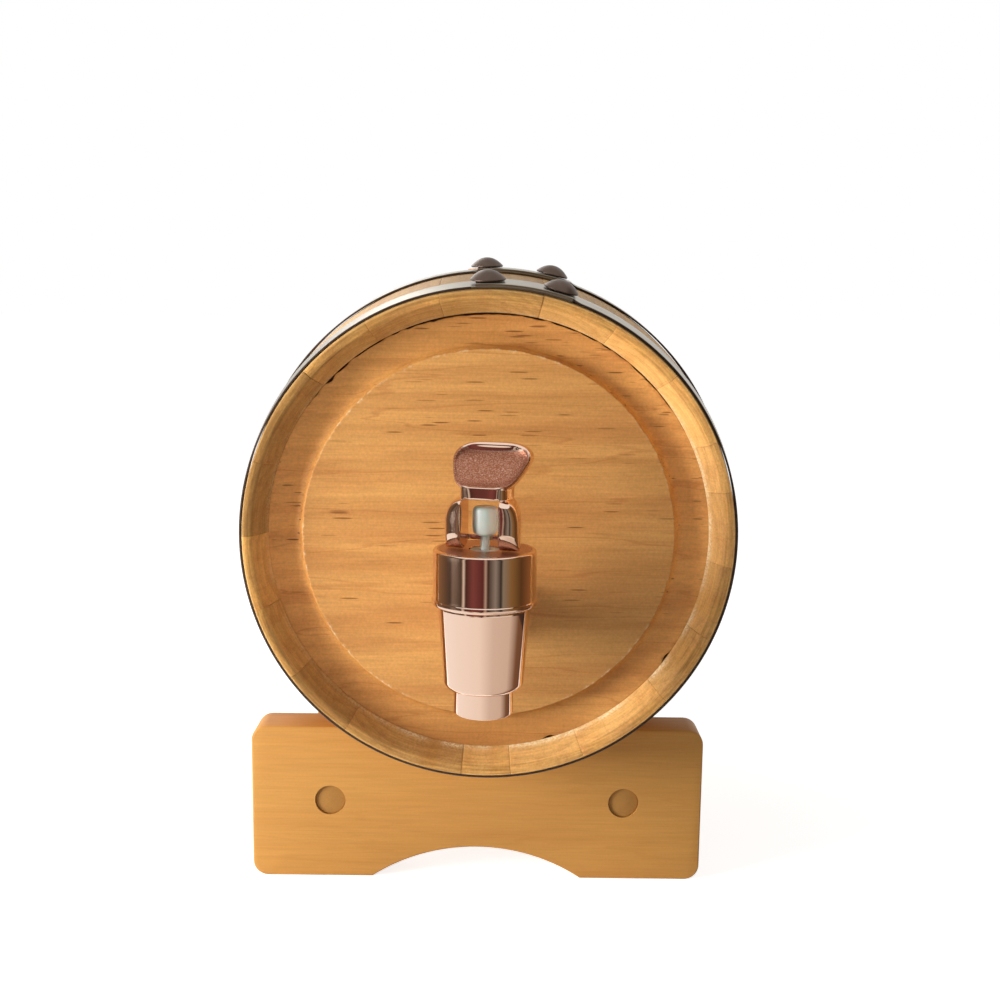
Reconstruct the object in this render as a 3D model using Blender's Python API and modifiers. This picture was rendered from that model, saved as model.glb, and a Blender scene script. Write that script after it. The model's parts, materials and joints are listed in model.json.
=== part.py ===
"""A small wooden barrel with a lever tap, lying on a stand of two plates and two dowels.

Metres, +Z up. The tap faces -Y. The origin is on the floor, under the middle of the whole object.
Lengths along the barrel are counted from its middle towards the tap. Angles around it run
counter-clockwise from its right side, as seen from the tap.
"""

import math

import bmesh
import bpy
from mathutils import Matrix, Vector

MM = 0.001

# Clearance between seated pieces
SEAT_GAP = 0.3 * MM
# Joints between neighbouring staves
JOINT_GAP = 0.24 * MM
WELD_DISTANCE = 0.00001

# Barrel
BARREL_LENGTH = 270.0 * MM
CHIME_RADIUS = 90.0 * MM
BILGE_RADIUS = 100.5 * MM
BARREL_AXIS_HEIGHT = 146.7 * MM
STAVE_THICKNESS = 9.5 * MM
CHIME_FLAT = 3.6 * MM
CHIME_EDGE = 1.0 * MM
STAVE_STEPS = 6
# Every turned piece of the barrel has flats of one width. A stave is a whole number of them wide.
BARREL_FLATS = 60
FLAT_ANGLE = 2 * math.pi / BARREL_FLATS
STAVE_FLATS = (2, 3, 3, 3, 4, 3, 3, 4, 3, 3, 3, 3, 5, 2, 3, 4, 3, 3, 3)
FIRST_JOINT_FLATS = 2
BUNG_STAVE_INDEX = 4

# Croze grooves and heads
CROZE_DEPTH_IN = 10.7 * MM
CROZE_WIDTH = 5.0 * MM
CROZE_CUT = 4.1 * MM
# The chime's sloping inner side ends this far inside its outer edge.
CHIME_SLOPE_WIDTH = 8.1 * MM
HEAD_RECESS = 8.0 * MM
HEAD_THICKNESS = 10.0 * MM
HEAD_BORDER = 12.9 * MM
HEAD_STEP = 1.1 * MM
HEAD_BACK_BEVEL = 3.0 * MM
HEAD_COVE_STEPS = 2

# Hoops, from their distance behind the chime's end
HOOP_THICKNESS = 1.1 * MM
HOOP_WIDTH = 16.0 * MM
HEAD_HOOP_SETBACK = 1.5 * MM
QUARTER_HOOP_SETBACK = 64.5 * MM
LAP_START_FLATS = 11
LAP_FLATS = 5

# Rivets through the lap of each hoop
RIVET_HEAD_RADIUS = 6.5 * MM
RIVET_HEAD_HEIGHT = 3.9 * MM
RIVET_RIM = 0.7 * MM
RIVET_SHANK_RADIUS = 1.8 * MM
RIVET_SIDES = 16
HEAD_HOOP_RIVETS = (90.8, 74.4)
QUARTER_HOOP_RIVETS = (91.3, 76.0)

# Bung
BUNG_RADIUS = 12.5 * MM
BUNG_TAPER = 1.2 * MM
BUNG_LENGTH = 15.0 * MM
BUNG_PROUD = 1.0 * MM

# Stand
PLATE_WIDTH = 182.0 * MM
CRADLE_DEPTH = 13.4 * MM
PLATE_THICKNESS = 18.0 * MM
PLATE_SETBACK = 34.5 * MM
PLATE_CORNER = 6.0 * MM
PLATE_EDGE = 0.8 * MM
# The cradles are cut off the plates' middle, so the stand lies to the left of the barrel.
STAND_OFFSET = -3.8 * MM
ARCH_HALF_WIDTH = 42.3 * MM
ARCH_RISE = 12.9 * MM
DOWEL_RADIUS = 6.0 * MM
DOWEL_SPREAD = 59.4 * MM
DOWEL_HEIGHT = 32.4 * MM
DOWEL_SIDES = 24

# Tap. Its heights are counted from the barrel's axis.
TAP_OFFSET = -0.9 * MM
TAP_AHEAD = 34.3 * MM
TAP_TURN = math.radians(16.0)
TAP_SIDES = 28
PLUNGER_SIDES = 20
SHANK_HEIGHT = -27.0 * MM
SHANK_RADIUS = 8.0 * MM
SHANK_BORE_RADIUS = 5.0 * MM
NECK_RADIUS = 9.0 * MM
NECK_OVERLAP = 1.0 * MM
FLANGE_RADIUS = 12.5 * MM
FLANGE_THICKNESS = 2.5 * MM
WASHER_RADIUS = 13.0 * MM
WASHER_THICKNESS = 2.0 * MM
NUT_RADIUS = 13.5 * MM
NUT_THICKNESS = 6.0 * MM
NUT_SIDES = 6
SHANK_SPARE = 3.0 * MM
BONNET_TOP = 3.4 * MM
BONNET_RADIUS = 17.6 * MM
BONNET_HEIGHT = 18.8 * MM
BONNET_WALL = 2.0 * MM
BONNET_ROOF = 2.5 * MM
BONNET_EDGE = 0.9 * MM
BONNET_LIP = 0.4 * MM
BONNET_LIP_HEIGHT = 1.2 * MM
BONNET_EYE_RADIUS = 5.4 * MM
BODY_TOP_RADIUS = 15.9 * MM
BODY_FOOT_RADIUS = 13.7 * MM
BODY_FOOT_HEIGHT = -42.0 * MM
BODY_FOOT_ROUND = 2.9 * MM
SPOUT_RADIUS = 10.2 * MM
SPOUT_BORE_RADIUS = 8.2 * MM
SPOUT_FOOT_HEIGHT = -53.6 * MM
CHAMBER_RADIUS = 11.0 * MM
SEAT_HEIGHT = -33.0 * MM
SEAT_THICKNESS = 2.5 * MM
PORT_RADIUS = 5.8 * MM
GASKET_THICKNESS = 1.7 * MM
STEM_RADIUS = 1.35 * MM
BUTTON_RADIUS = 4.3 * MM
BUTTON_FOOT_HEIGHT = 8.0 * MM
BUTTON_HEIGHT = 10.0 * MM
FOOT_RADIUS = 4.6 * MM
FOOT_THICKNESS = 2.0 * MM
CUP_RADIUS = 7.6 * MM
CUP_HEIGHT = 9.0 * MM
CUP_WALL = 1.8 * MM

# Tap lever. Its heights are counted from its pivot, the middle of the round feet of its fork, and
# its depths from there too: in front is negative.
LEVER_AHEAD = 2.8 * MM
FORK_HALF_WIDTH = 12.9 * MM
FORK_HALF_DEPTH = 6.7 * MM
FORK_GAP_HALF_WIDTH = 6.5 * MM
CHEEK_SHOULDER = 4.4 * MM
COLLAR_FOOT = 10.2 * MM
COLLAR_TOP = 14.2 * MM
COLLAR_FRONT = 3.2 * MM
COLLAR_BACK = 7.6 * MM
COLLAR_HALF_WIDTH = 7.4 * MM
NECK_HALF_WIDTH = 10.0 * MM
LIFTING_WEB_TOP = -2.7 * MM
PADDLE_TOP = 28.4 * MM
PADDLE_WIDEST = 23.2 * MM
PADDLE_HALF_WIDTH = 13.6 * MM
PADDLE_LEAN = 9.8 * MM
PADDLE_THICKNESS = 3.0 * MM
SCOOP_DEPTH = 3.0 * MM
SCOOP_RIM = 1.5 * MM
LEVER_SIDES = 28

HALF_LENGTH = BARREL_LENGTH / 2
CROZE_MOUTH_RADIUS = CHIME_RADIUS - CHIME_SLOPE_WIDTH
CROZE_RADIUS = CROZE_MOUTH_RADIUS + CROZE_CUT
HEAD_DISC_RADIUS = CROZE_MOUTH_RADIUS - HEAD_BORDER
BARREL_Y = (TAP_AHEAD + BONNET_RADIUS + BONNET_LIP) / 2
TAP_Y = BARREL_Y - HALF_LENGTH - TAP_AHEAD


def new_collection(name):
    collection = bpy.data.collections.new(name)
    bpy.context.scene.collection.children.link(collection)
    return collection


def material(name, colour, roughness, metallic=0.0):
    """A Principled material. The colour is linear."""
    made = bpy.data.materials.new(name)
    made.use_nodes = True
    shader = made.node_tree.nodes["Principled BSDF"]
    shader.inputs["Base Color"].default_value = (*colour, 1.0)
    shader.inputs["Roughness"].default_value = roughness
    shader.inputs["Metallic"].default_value = metallic
    return made


def make_materials():
    return {
        "stave wood": material("stave wood", (0.57, 0.32, 0.12), 0.55),
        "head wood": material("head wood", (0.63, 0.33, 0.12), 0.55),
        "stand wood": material("stand wood", (0.66, 0.34, 0.09), 0.5),
        "hoop steel": material("hoop steel", (0.42, 0.40, 0.36), 0.35, 1.0),
        "rivet": material("rivet", (0.11, 0.08, 0.06), 0.5, 0.6),
        "rose gold": material("rose gold", (0.72, 0.42, 0.33), 0.1, 1.0),
        "milky plastic": material("milky plastic", (0.62, 0.67, 0.62), 0.4),
        "silicone": material("silicone", (0.55, 0.55, 0.52), 0.6),
        "nut plastic": material("nut plastic", (0.08, 0.08, 0.08), 0.5),
    }


def guide(name, location, rotation=(0.0, 0.0, 0.0), parent=None):
    """An empty that carries the pieces of one group."""
    empty = bpy.data.objects.new(name, None)
    PARTS.objects.link(empty)
    empty.location = location
    empty.rotation_euler = rotation
    empty.parent = parent
    return empty


def piece(name, mesh, finish, parent):
    made = bpy.data.objects.new(name, mesh)
    PARTS.objects.link(made)
    made.parent = parent
    made.data.materials.append(FINISHES[finish])
    return made


def turned_mesh(name, profile, closed):
    """The outline of a turned piece, as (radius, height) points that run down its outer side."""
    mesh = bpy.data.meshes.new(name)
    count = len(profile)
    edges = [(i, i + 1) for i in range(count - 1)]
    if closed:
        edges.append((count - 1, 0))
    mesh.from_pydata([(radius, 0.0, height) for radius, height in profile], edges, [])
    return mesh


def turned(name, profile, finish, parent, sides, closed=False):
    made = piece(name, turned_mesh(name, profile, closed), finish, parent)
    turn = made.modifiers.new("turn", "SCREW")
    turn.angle = 2 * math.pi
    turn.steps = sides
    turn.render_steps = sides
    turn.use_merge_vertices = True
    turn.merge_threshold = WELD_DISTANCE
    return made


def cutter(name, mesh, parent, place):
    """A shape that a Boolean takes away or adds. It isn't part of the object itself."""
    made = bpy.data.objects.new(name, mesh)
    CUTTERS.objects.link(made)
    made.parent = parent
    made.matrix_local = place
    made.hide_render = True
    made.display_type = "WIRE"
    return made


def rod_mesh(name, radius, length, sides, end_radius=None):
    """A rod or cone along Z, from its middle."""
    bm = bmesh.new()
    bmesh.ops.create_cone(
        bm,
        cap_ends=True,
        segments=sides,
        radius1=radius if end_radius is None else end_radius,
        radius2=radius,
        depth=length,
    )
    mesh = bpy.data.meshes.new(name)
    bm.to_mesh(mesh)
    bm.free()
    return mesh


def box_mesh(name, low, high):
    bm = bmesh.new()
    bmesh.ops.create_cube(bm, size=1.0)
    size = [b - a for a, b in zip(low, high)]
    middle = [(a + b) / 2 for a, b in zip(low, high)]
    bmesh.ops.scale(bm, vec=size, verts=bm.verts)
    bmesh.ops.translate(bm, vec=middle, verts=bm.verts)
    mesh = bpy.data.meshes.new(name)
    bm.to_mesh(mesh)
    bm.free()
    return mesh


def boolean(target, other, operation):
    modifier = target.modifiers.new(other.name, "BOOLEAN")
    modifier.object = other
    modifier.operation = operation
    modifier.solver = "EXACT"


def finish_meshes():
    """Applies every modifier, and shades the round faces smooth."""
    bpy.context.view_layer.update()
    graph = bpy.context.evaluated_depsgraph_get()
    made = [obj for obj in PARTS.objects if obj.type == "MESH"]
    meshes = [bpy.data.meshes.new_from_object(obj.evaluated_get(graph)) for obj in made]
    for obj, mesh in zip(made, meshes):
        obj.modifiers.clear()
        obj.data = mesh
        mesh.shade_smooth()
        mesh.set_sharp_from_angle(angle=math.radians(30.0))


def along_radius(angle, radius, height, tilt=0.0):
    """A place whose Z axis points out from the barrel's axis, tilted towards the nearer end."""
    out = Vector((math.cos(angle), math.sin(angle), 0.0))
    out = (out * math.cos(tilt) + Vector((0.0, 0.0, 1.0)) * math.sin(tilt)).normalized()
    side = Vector((-math.sin(angle), math.cos(angle), 0.0))
    turn = Matrix((side, out.cross(side), out)).transposed()
    where = Vector((radius * math.cos(angle), radius * math.sin(angle), height))
    return Matrix.Translation(where) @ turn.to_4x4()


def barrel_radius(along):
    """Outside radius of the staves at this distance from the barrel's middle."""
    swell = BILGE_RADIUS - CHIME_RADIUS
    return BILGE_RADIUS - swell * (along / HALF_LENGTH) ** 2


def barrel_slope(along):
    """Angle at which the staves fall away from the barrel's middle."""
    swell = BILGE_RADIUS - CHIME_RADIUS
    return math.atan(2 * swell * along / HALF_LENGTH**2)


def stave_profile():
    """The section of a stave, as (radius, distance along the barrel) points."""
    croze_front = HALF_LENGTH - CROZE_DEPTH_IN
    croze_back = croze_front - CROZE_WIDTH
    shoulder = HALF_LENGTH - CHIME_EDGE
    outside = [
        (barrel_radius(along), along)
        for along in (shoulder * (1 - 2 * i / STAVE_STEPS) for i in range(STAVE_STEPS + 1))
    ]
    front = [
        (croze_radius_inside(), croze_back),
        (CROZE_RADIUS, croze_back),
        (CROZE_RADIUS, croze_front),
        (CROZE_MOUTH_RADIUS, croze_front),
        (CHIME_RADIUS - CHIME_FLAT, HALF_LENGTH),
        (CHIME_RADIUS - CHIME_EDGE, HALF_LENGTH),
    ]
    rear = [(radius, -along) for radius, along in reversed(front)]
    inside = [
        (barrel_radius(along) - STAVE_THICKNESS, along)
        for along in (croze_back * (2 * i / STAVE_STEPS - 1) for i in range(1, STAVE_STEPS))
    ]
    return outside + rear + inside + front


def croze_radius_inside():
    """Inside radius of the staves next to the croze groove."""
    return barrel_radius(HALF_LENGTH - CROZE_DEPTH_IN - CROZE_WIDTH) - STAVE_THICKNESS


def make_stave(name, first_flat, flats):
    """A section spun through the stave's share of the circle."""
    joint = JOINT_GAP / BILGE_RADIUS
    start = first_flat * FLAT_ANGLE + joint / 2
    bm = bmesh.new()
    corners = [
        bm.verts.new((radius * math.cos(start), radius * math.sin(start), along))
        for radius, along in stave_profile()
    ]
    bm.faces.new(corners)
    bmesh.ops.spin(
        bm,
        geom=bm.verts[:] + bm.edges[:] + bm.faces[:],
        axis=(0.0, 0.0, 1.0),
        cent=(0.0, 0.0, 0.0),
        angle=flats * FLAT_ANGLE - joint,
        steps=flats,
        use_duplicate=False,
    )
    bmesh.ops.recalc_face_normals(bm, faces=bm.faces)
    mesh = bpy.data.meshes.new(name)
    bm.to_mesh(mesh)
    bm.free()
    return piece(name, mesh, "stave wood", BARREL)


def bung_middle_radius():
    return BILGE_RADIUS + BUNG_PROUD - BUNG_LENGTH / 2


def bung_angle():
    """Angle of the middle of the stave that holds the bung."""
    before = FIRST_JOINT_FLATS + sum(STAVE_FLATS[:BUNG_STAVE_INDEX])
    return (before + STAVE_FLATS[BUNG_STAVE_INDEX] / 2) * FLAT_ANGLE


def make_staves():
    first_flat = FIRST_JOINT_FLATS
    number = 0
    for index, flats in enumerate(STAVE_FLATS):
        if index == BUNG_STAVE_INDEX:
            stave = make_stave("bung_stave", first_flat, flats)
            hole = rod_mesh(
                "bung_hole",
                BUNG_RADIUS + SEAT_GAP,
                BUNG_LENGTH * 2,
                TAP_SIDES,
                BUNG_RADIUS + SEAT_GAP - BUNG_TAPER * 2,
            )
            place = along_radius(bung_angle(), bung_middle_radius(), 0.0)
            boolean(stave, cutter("bung_hole", hole, BARREL, place), "DIFFERENCE")
        else:
            number += 1
            make_stave(f"stave_{number:02d}", first_flat, flats)
        first_flat += flats


def make_bung():
    mesh = rod_mesh(
        "bung",
        BUNG_RADIUS - BUNG_TAPER / 2,
        BUNG_LENGTH,
        TAP_SIDES,
        BUNG_RADIUS - BUNG_TAPER * 3 / 2,
    )
    bung = piece("bung", mesh, "head wood", BARREL)
    bung.matrix_local = along_radius(bung_angle(), bung_middle_radius(), 0.0)


def head_profile():
    """The section of a head: a raised disc, a coved border and the edge that sits in the croze."""
    face = HALF_LENGTH - HEAD_RECESS
    step = face - HEAD_STEP
    edge_front = HALF_LENGTH - CROZE_DEPTH_IN - SEAT_GAP
    edge_back = HALF_LENGTH - CROZE_DEPTH_IN - CROZE_WIDTH + SEAT_GAP
    edge_radius = CROZE_RADIUS - SEAT_GAP
    border = CROZE_MOUTH_RADIUS - HEAD_DISC_RADIUS
    cove = []
    for i in range(HEAD_COVE_STEPS + 1):
        share = i / HEAD_COVE_STEPS
        drop = (step - edge_front) * (1 - (1 - share) ** 2)
        cove.append((HEAD_DISC_RADIUS + border * share, step - drop))
    back_radius = croze_radius_inside() - HEAD_BACK_BEVEL
    return [
        (0.0, face),
        (HEAD_DISC_RADIUS - HEAD_STEP / 2, face),
        *cove,
        (edge_radius, edge_front),
        (edge_radius, edge_back),
        (back_radius + (edge_back - face + HEAD_THICKNESS), edge_back),
        (back_radius, face - HEAD_THICKNESS),
        (0.0, face - HEAD_THICKNESS),
    ]


def make_heads():
    front = turned("front_head", head_profile(), "head wood", BARREL, BARREL_FLATS)
    hole = rod_mesh("shank_hole", SHANK_RADIUS + SEAT_GAP, HEAD_THICKNESS * 4, TAP_SIDES)
    place = Matrix.Translation((TAP_OFFSET, SHANK_HEIGHT, HALF_LENGTH - HEAD_RECESS))
    boolean(front, cutter("shank_hole", hole, BARREL, place), "DIFFERENCE")
    rear = turned("rear_head", head_profile(), "head wood", BARREL, BARREL_FLATS)
    rear.rotation_euler = (math.pi, 0.0, 0.0)


def hoop_band(near, far, inner, outer):
    """The section of a band that follows the staves, this far out from them."""
    return [
        (barrel_radius(near) + outer, near),
        (barrel_radius(far) + outer, far),
        (barrel_radius(far) + inner, far),
        (barrel_radius(near) + inner, near),
    ]


def make_lap(name, band):
    """The second layer of the strap, where its ends overlap."""
    start = LAP_START_FLATS * FLAT_ANGLE
    bm = bmesh.new()
    bm.faces.new(
        [bm.verts.new((r * math.cos(start), r * math.sin(start), z)) for r, z in band]
    )
    bmesh.ops.spin(
        bm,
        geom=bm.verts[:] + bm.edges[:] + bm.faces[:],
        axis=(0.0, 0.0, 1.0),
        cent=(0.0, 0.0, 0.0),
        angle=LAP_FLATS * FLAT_ANGLE,
        steps=LAP_FLATS,
        use_duplicate=False,
    )
    bmesh.ops.recalc_face_normals(bm, faces=bm.faces)
    mesh = bpy.data.meshes.new(name)
    bm.to_mesh(mesh)
    bm.free()
    return cutter(name, mesh, BARREL, Matrix.Identity(4))


def rivet_profile(length):
    """A domed head on a short shank. Height 0 is the underside of the head."""
    rise = RIVET_HEAD_HEIGHT - RIVET_RIM
    steps = 3
    dome = [
        (
            RIVET_HEAD_RADIUS * math.sin(math.pi / 2 * i / steps),
            RIVET_RIM + rise * math.cos(math.pi / 2 * i / steps),
        )
        for i in range(steps + 1)
    ]
    return [
        *dome,
        (RIVET_HEAD_RADIUS, 0.0),
        (RIVET_SHANK_RADIUS, 0.0),
        (RIVET_SHANK_RADIUS, -length),
        (0.0, -length),
    ]


def make_hoop(name, near, far, rivet_angles):
    """A riveted strap. near is its edge on the tap's side."""
    sides = BARREL_FLATS
    outer = SEAT_GAP + HOOP_THICKNESS
    band = hoop_band(near, far, SEAT_GAP, outer)
    hoop = turned(name, band, "hoop steel", BARREL, sides, closed=True)
    lap_band = hoop_band(near, far, SEAT_GAP + HOOP_THICKNESS / 2, outer + HOOP_THICKNESS)
    boolean(hoop, make_lap(name + "_lap", lap_band), "UNION")
    middle = (near + far) / 2
    top = barrel_radius(middle) + outer + HOOP_THICKNESS + SEAT_GAP
    shank = HOOP_THICKNESS * 2 + SEAT_GAP
    for number, angle in enumerate(rivet_angles, start=1):
        place = along_radius(math.radians(angle), top, middle, barrel_slope(middle))
        hole = rod_mesh(name, RIVET_SHANK_RADIUS + SEAT_GAP, HOOP_THICKNESS * 8, RIVET_SIDES)
        boolean(hoop, cutter(f"{name}_hole_{number}", hole, BARREL, place), "DIFFERENCE")
        rivet_name = f"{name}_rivet_{number}"
        rivet = turned(rivet_name, rivet_profile(shank), "rivet", BARREL, RIVET_SIDES)
        rivet.matrix_local = place


def make_hoops():
    for end, sign in (("front", 1), ("rear", -1)):
        for kind, setback, angles in (
            ("head_hoop", HEAD_HOOP_SETBACK, HEAD_HOOP_RIVETS),
            ("quarter_hoop", QUARTER_HOOP_SETBACK, QUARTER_HOOP_RIVETS),
        ):
            edges = (
                sign * (HALF_LENGTH - setback),
                sign * (HALF_LENGTH - setback - HOOP_WIDTH),
            )
            make_hoop(f"{end}_{kind}", max(edges), min(edges), angles)


def arc(middle, radius, start, end, steps):
    """Points on an arc, from one angle to another in degrees."""
    points = []
    for i in range(steps + 1):
        angle = math.radians(start + (end - start) * i / steps)
        points.append(
            (middle[0] + radius * math.cos(angle), middle[1] + radius * math.sin(angle))
        )
    return points


def cradle_radius():
    """The cradle clears the staves where they are widest over the plate's thickness."""
    inner_face = HALF_LENGTH - PLATE_SETBACK - PLATE_THICKNESS
    return barrel_radius(inner_face) + SEAT_GAP


def plate_outline():
    """Front view of a stand plate, from the middle of its foot, counter-clockwise."""
    half = PLATE_WIDTH / 2
    corner = PLATE_CORNER
    steps = 3
    cradle = cradle_radius()
    cradle_middle = (-STAND_OFFSET, BARREL_AXIS_HEIGHT)
    top = BARREL_AXIS_HEIGHT - cradle + CRADLE_DEPTH
    sweep = math.degrees(math.acos(1 - CRADLE_DEPTH / cradle))
    arch = (ARCH_HALF_WIDTH**2 + ARCH_RISE**2) / (2 * ARCH_RISE)
    arch_sweep = math.degrees(math.asin(ARCH_HALF_WIDTH / arch))
    arch_middle = (0.0, ARCH_RISE - arch)
    return [
        *arc((half - corner, corner), corner, -90.0, 0.0, steps),
        *arc((half - corner, top - corner), corner, 0.0, 90.0, steps),
        *arc(cradle_middle, cradle, -90.0 + sweep, -90.0 - sweep, 20),
        *arc((corner - half, top - corner), corner, 90.0, 180.0, steps),
        *arc((corner - half, corner), corner, 180.0, 270.0, steps),
        *arc(arch_middle, arch, 90.0 + arch_sweep, 90.0 - arch_sweep, 14),
    ]


def plate_mesh():
    """The outline as a filled curve of the plate's thickness, then as a welded mesh."""
    curve = bpy.data.curves.new("plate_outline", "CURVE")
    curve.dimensions = "2D"
    curve.fill_mode = "BOTH"
    curve.extrude = PLATE_THICKNESS / 2
    outline = plate_outline()
    spline = curve.splines.new("POLY")
    spline.points.add(len(outline) - 1)
    for point, (x, y) in zip(spline.points, outline):
        point.co = (x, y, 0.0, 1.0)
    spline.use_cyclic_u = True
    drawn = bpy.data.objects.new("plate_outline", curve)
    PARTS.objects.link(drawn)
    graph = bpy.context.evaluated_depsgraph_get()
    mesh = bpy.data.meshes.new_from_object(drawn.evaluated_get(graph))
    bpy.data.objects.remove(drawn)
    bm = bmesh.new()
    bm.from_mesh(mesh)
    bmesh.ops.remove_doubles(bm, verts=bm.verts, dist=WELD_DISTANCE)
    bmesh.ops.recalc_face_normals(bm, faces=bm.faces)
    bm.to_mesh(mesh)
    bm.free()
    return mesh


def make_stand():
    plate_middle = HALF_LENGTH - PLATE_SETBACK - PLATE_THICKNESS / 2
    for name, side in (("stand_front_plate", -1), ("stand_rear_plate", 1)):
        plate = piece(name, plate_mesh(), "stand wood", STAND)
        plate.location = (0.0, side * plate_middle, 0.0)
        plate.rotation_euler = (math.pi / 2, 0.0, 0.0)
        edge = plate.modifiers.new("edge", "BEVEL")
        edge.width = PLATE_EDGE
        edge.segments = 1
        edge.limit_method = "ANGLE"
        edge.angle_limit = math.radians(60.0)
        for hand, across in (("left", -DOWEL_SPREAD), ("right", DOWEL_SPREAD)):
            hole = rod_mesh("hole", DOWEL_RADIUS + SEAT_GAP, PLATE_THICKNESS * 2, DOWEL_SIDES)
            place = Matrix.Translation((across, DOWEL_HEIGHT, 0.0))
            boolean(plate, cutter(f"{name}_{hand}_hole", hole, plate, place), "DIFFERENCE")
    length = 2 * plate_middle + PLATE_THICKNESS
    for name, across in (
        ("stand_left_dowel", -DOWEL_SPREAD),
        ("stand_right_dowel", DOWEL_SPREAD),
    ):
        mesh = rod_mesh(name, DOWEL_RADIUS, length, DOWEL_SIDES)
        dowel = piece(name, mesh, "stand wood", STAND)
        dowel.location = (across, 0.0, DOWEL_HEIGHT)
        dowel.rotation_euler = (math.pi / 2, 0.0, 0.0)


def body_collar_radius():
    """Outside radius of the tap body's collar, inside the bonnet."""
    return BONNET_RADIUS - BONNET_WALL - SEAT_GAP


def body_rim_height():
    return BONNET_TOP - BONNET_ROOF - SEAT_GAP - GASKET_THICKNESS - SEAT_GAP


def body_profile():
    """The tap body about its upright axis, without its shank."""
    shoulder = BONNET_TOP - BONNET_HEIGHT - SEAT_GAP
    round_middle = (BODY_FOOT_RADIUS - BODY_FOOT_ROUND, BODY_FOOT_HEIGHT)
    port_foot = SEAT_HEIGHT - SEAT_THICKNESS
    return [
        (CHAMBER_RADIUS, body_rim_height()),
        (body_collar_radius(), body_rim_height()),
        (body_collar_radius(), shoulder),
        (BODY_TOP_RADIUS, shoulder),
        *arc(round_middle, BODY_FOOT_ROUND, 0.0, -90.0, 4),
        (SPOUT_RADIUS, BODY_FOOT_HEIGHT - BODY_FOOT_ROUND),
        (SPOUT_RADIUS, SPOUT_FOOT_HEIGHT),
        (SPOUT_BORE_RADIUS, SPOUT_FOOT_HEIGHT),
        (SPOUT_BORE_RADIUS, port_foot),
        (PORT_RADIUS, port_foot),
        (PORT_RADIUS, SEAT_HEIGHT),
        (CHAMBER_RADIUS, SEAT_HEIGHT),
    ]


def make_tap_body():
    """The body, with the neck, flange and threaded shank that reach back through the head."""
    body = turned("tap_body", body_profile(), "rose gold", TAP, TAP_SIDES, closed=True)
    neck_start = CHAMBER_RADIUS + NECK_OVERLAP
    head_face = TAP_AHEAD + HEAD_RECESS
    flange_back = head_face - WASHER_THICKNESS - 2 * SEAT_GAP
    flange_front = flange_back - FLANGE_THICKNESS
    nut_back = shank_stack_end()
    profile = [
        (0.0, -neck_start),
        (NECK_RADIUS, -neck_start),
        (NECK_RADIUS, -flange_front),
        (FLANGE_RADIUS, -flange_front),
        (FLANGE_RADIUS, -flange_back),
        (SHANK_RADIUS, -flange_back),
        (SHANK_RADIUS, -(nut_back + SHANK_SPARE)),
        (0.0, -(nut_back + SHANK_SPARE)),
    ]
    place = Matrix.Translation((0.0, 0.0, SHANK_HEIGHT)) @ Matrix.Rotation(math.pi / 2, 4, "X")
    shank = cutter("shank", turned_mesh("shank", profile, False), TAP, place)
    turn = shank.modifiers.new("turn", "SCREW")
    turn.angle = 2 * math.pi
    turn.steps = TAP_SIDES
    turn.render_steps = TAP_SIDES
    turn.use_merge_vertices = True
    turn.merge_threshold = WELD_DISTANCE
    boolean(body, shank, "UNION")
    bore = rod_mesh("shank_bore", SHANK_BORE_RADIUS, nut_back * 2, TAP_SIDES // 2)
    middle = Matrix.Translation((0.0, nut_back, SHANK_HEIGHT))
    place = middle @ Matrix.Rotation(math.pi / 2, 4, "X")
    boolean(body, cutter("shank_bore", bore, TAP, place), "DIFFERENCE")


def shank_stack_end():
    """Distance behind the tap's axis of the nut's far face."""
    inner_face = TAP_AHEAD + HEAD_RECESS + HEAD_THICKNESS
    return inner_face + WASHER_THICKNESS + NUT_THICKNESS + 2 * SEAT_GAP


def make_shank_fittings():
    """The washers on both sides of the head, and the nut inside the barrel."""
    hole = SHANK_RADIUS + SEAT_GAP
    head_face = TAP_AHEAD + HEAD_RECESS
    inner_face = head_face + HEAD_THICKNESS
    outer_washer = head_face - SEAT_GAP - WASHER_THICKNESS / 2
    inner_washer = inner_face + SEAT_GAP + WASHER_THICKNESS / 2
    nut = shank_stack_end() - NUT_THICKNESS / 2
    half = WASHER_THICKNESS / 2
    ring = [(WASHER_RADIUS, half), (WASHER_RADIUS, -half), (hole, -half), (hole, half)]
    for name, back in (("tap_outer_washer", outer_washer), ("tap_inner_washer", inner_washer)):
        made = turned(name, ring, "silicone", TAP, TAP_SIDES, closed=True)
        made.location = (0.0, back, SHANK_HEIGHT)
        made.rotation_euler = (math.pi / 2, 0.0, 0.0)
    mesh = rod_mesh("tap_nut", NUT_RADIUS, NUT_THICKNESS, NUT_SIDES)
    made = piece("tap_nut", mesh, "nut plastic", TAP)
    made.location = (0.0, nut, SHANK_HEIGHT)
    made.rotation_euler = (math.pi / 2, 0.0, 0.0)
    thread = rod_mesh("nut_hole", hole, NUT_THICKNESS * 2, TAP_SIDES)
    boolean(made, cutter("nut_hole", thread, made, Matrix.Identity(4)), "DIFFERENCE")


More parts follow.
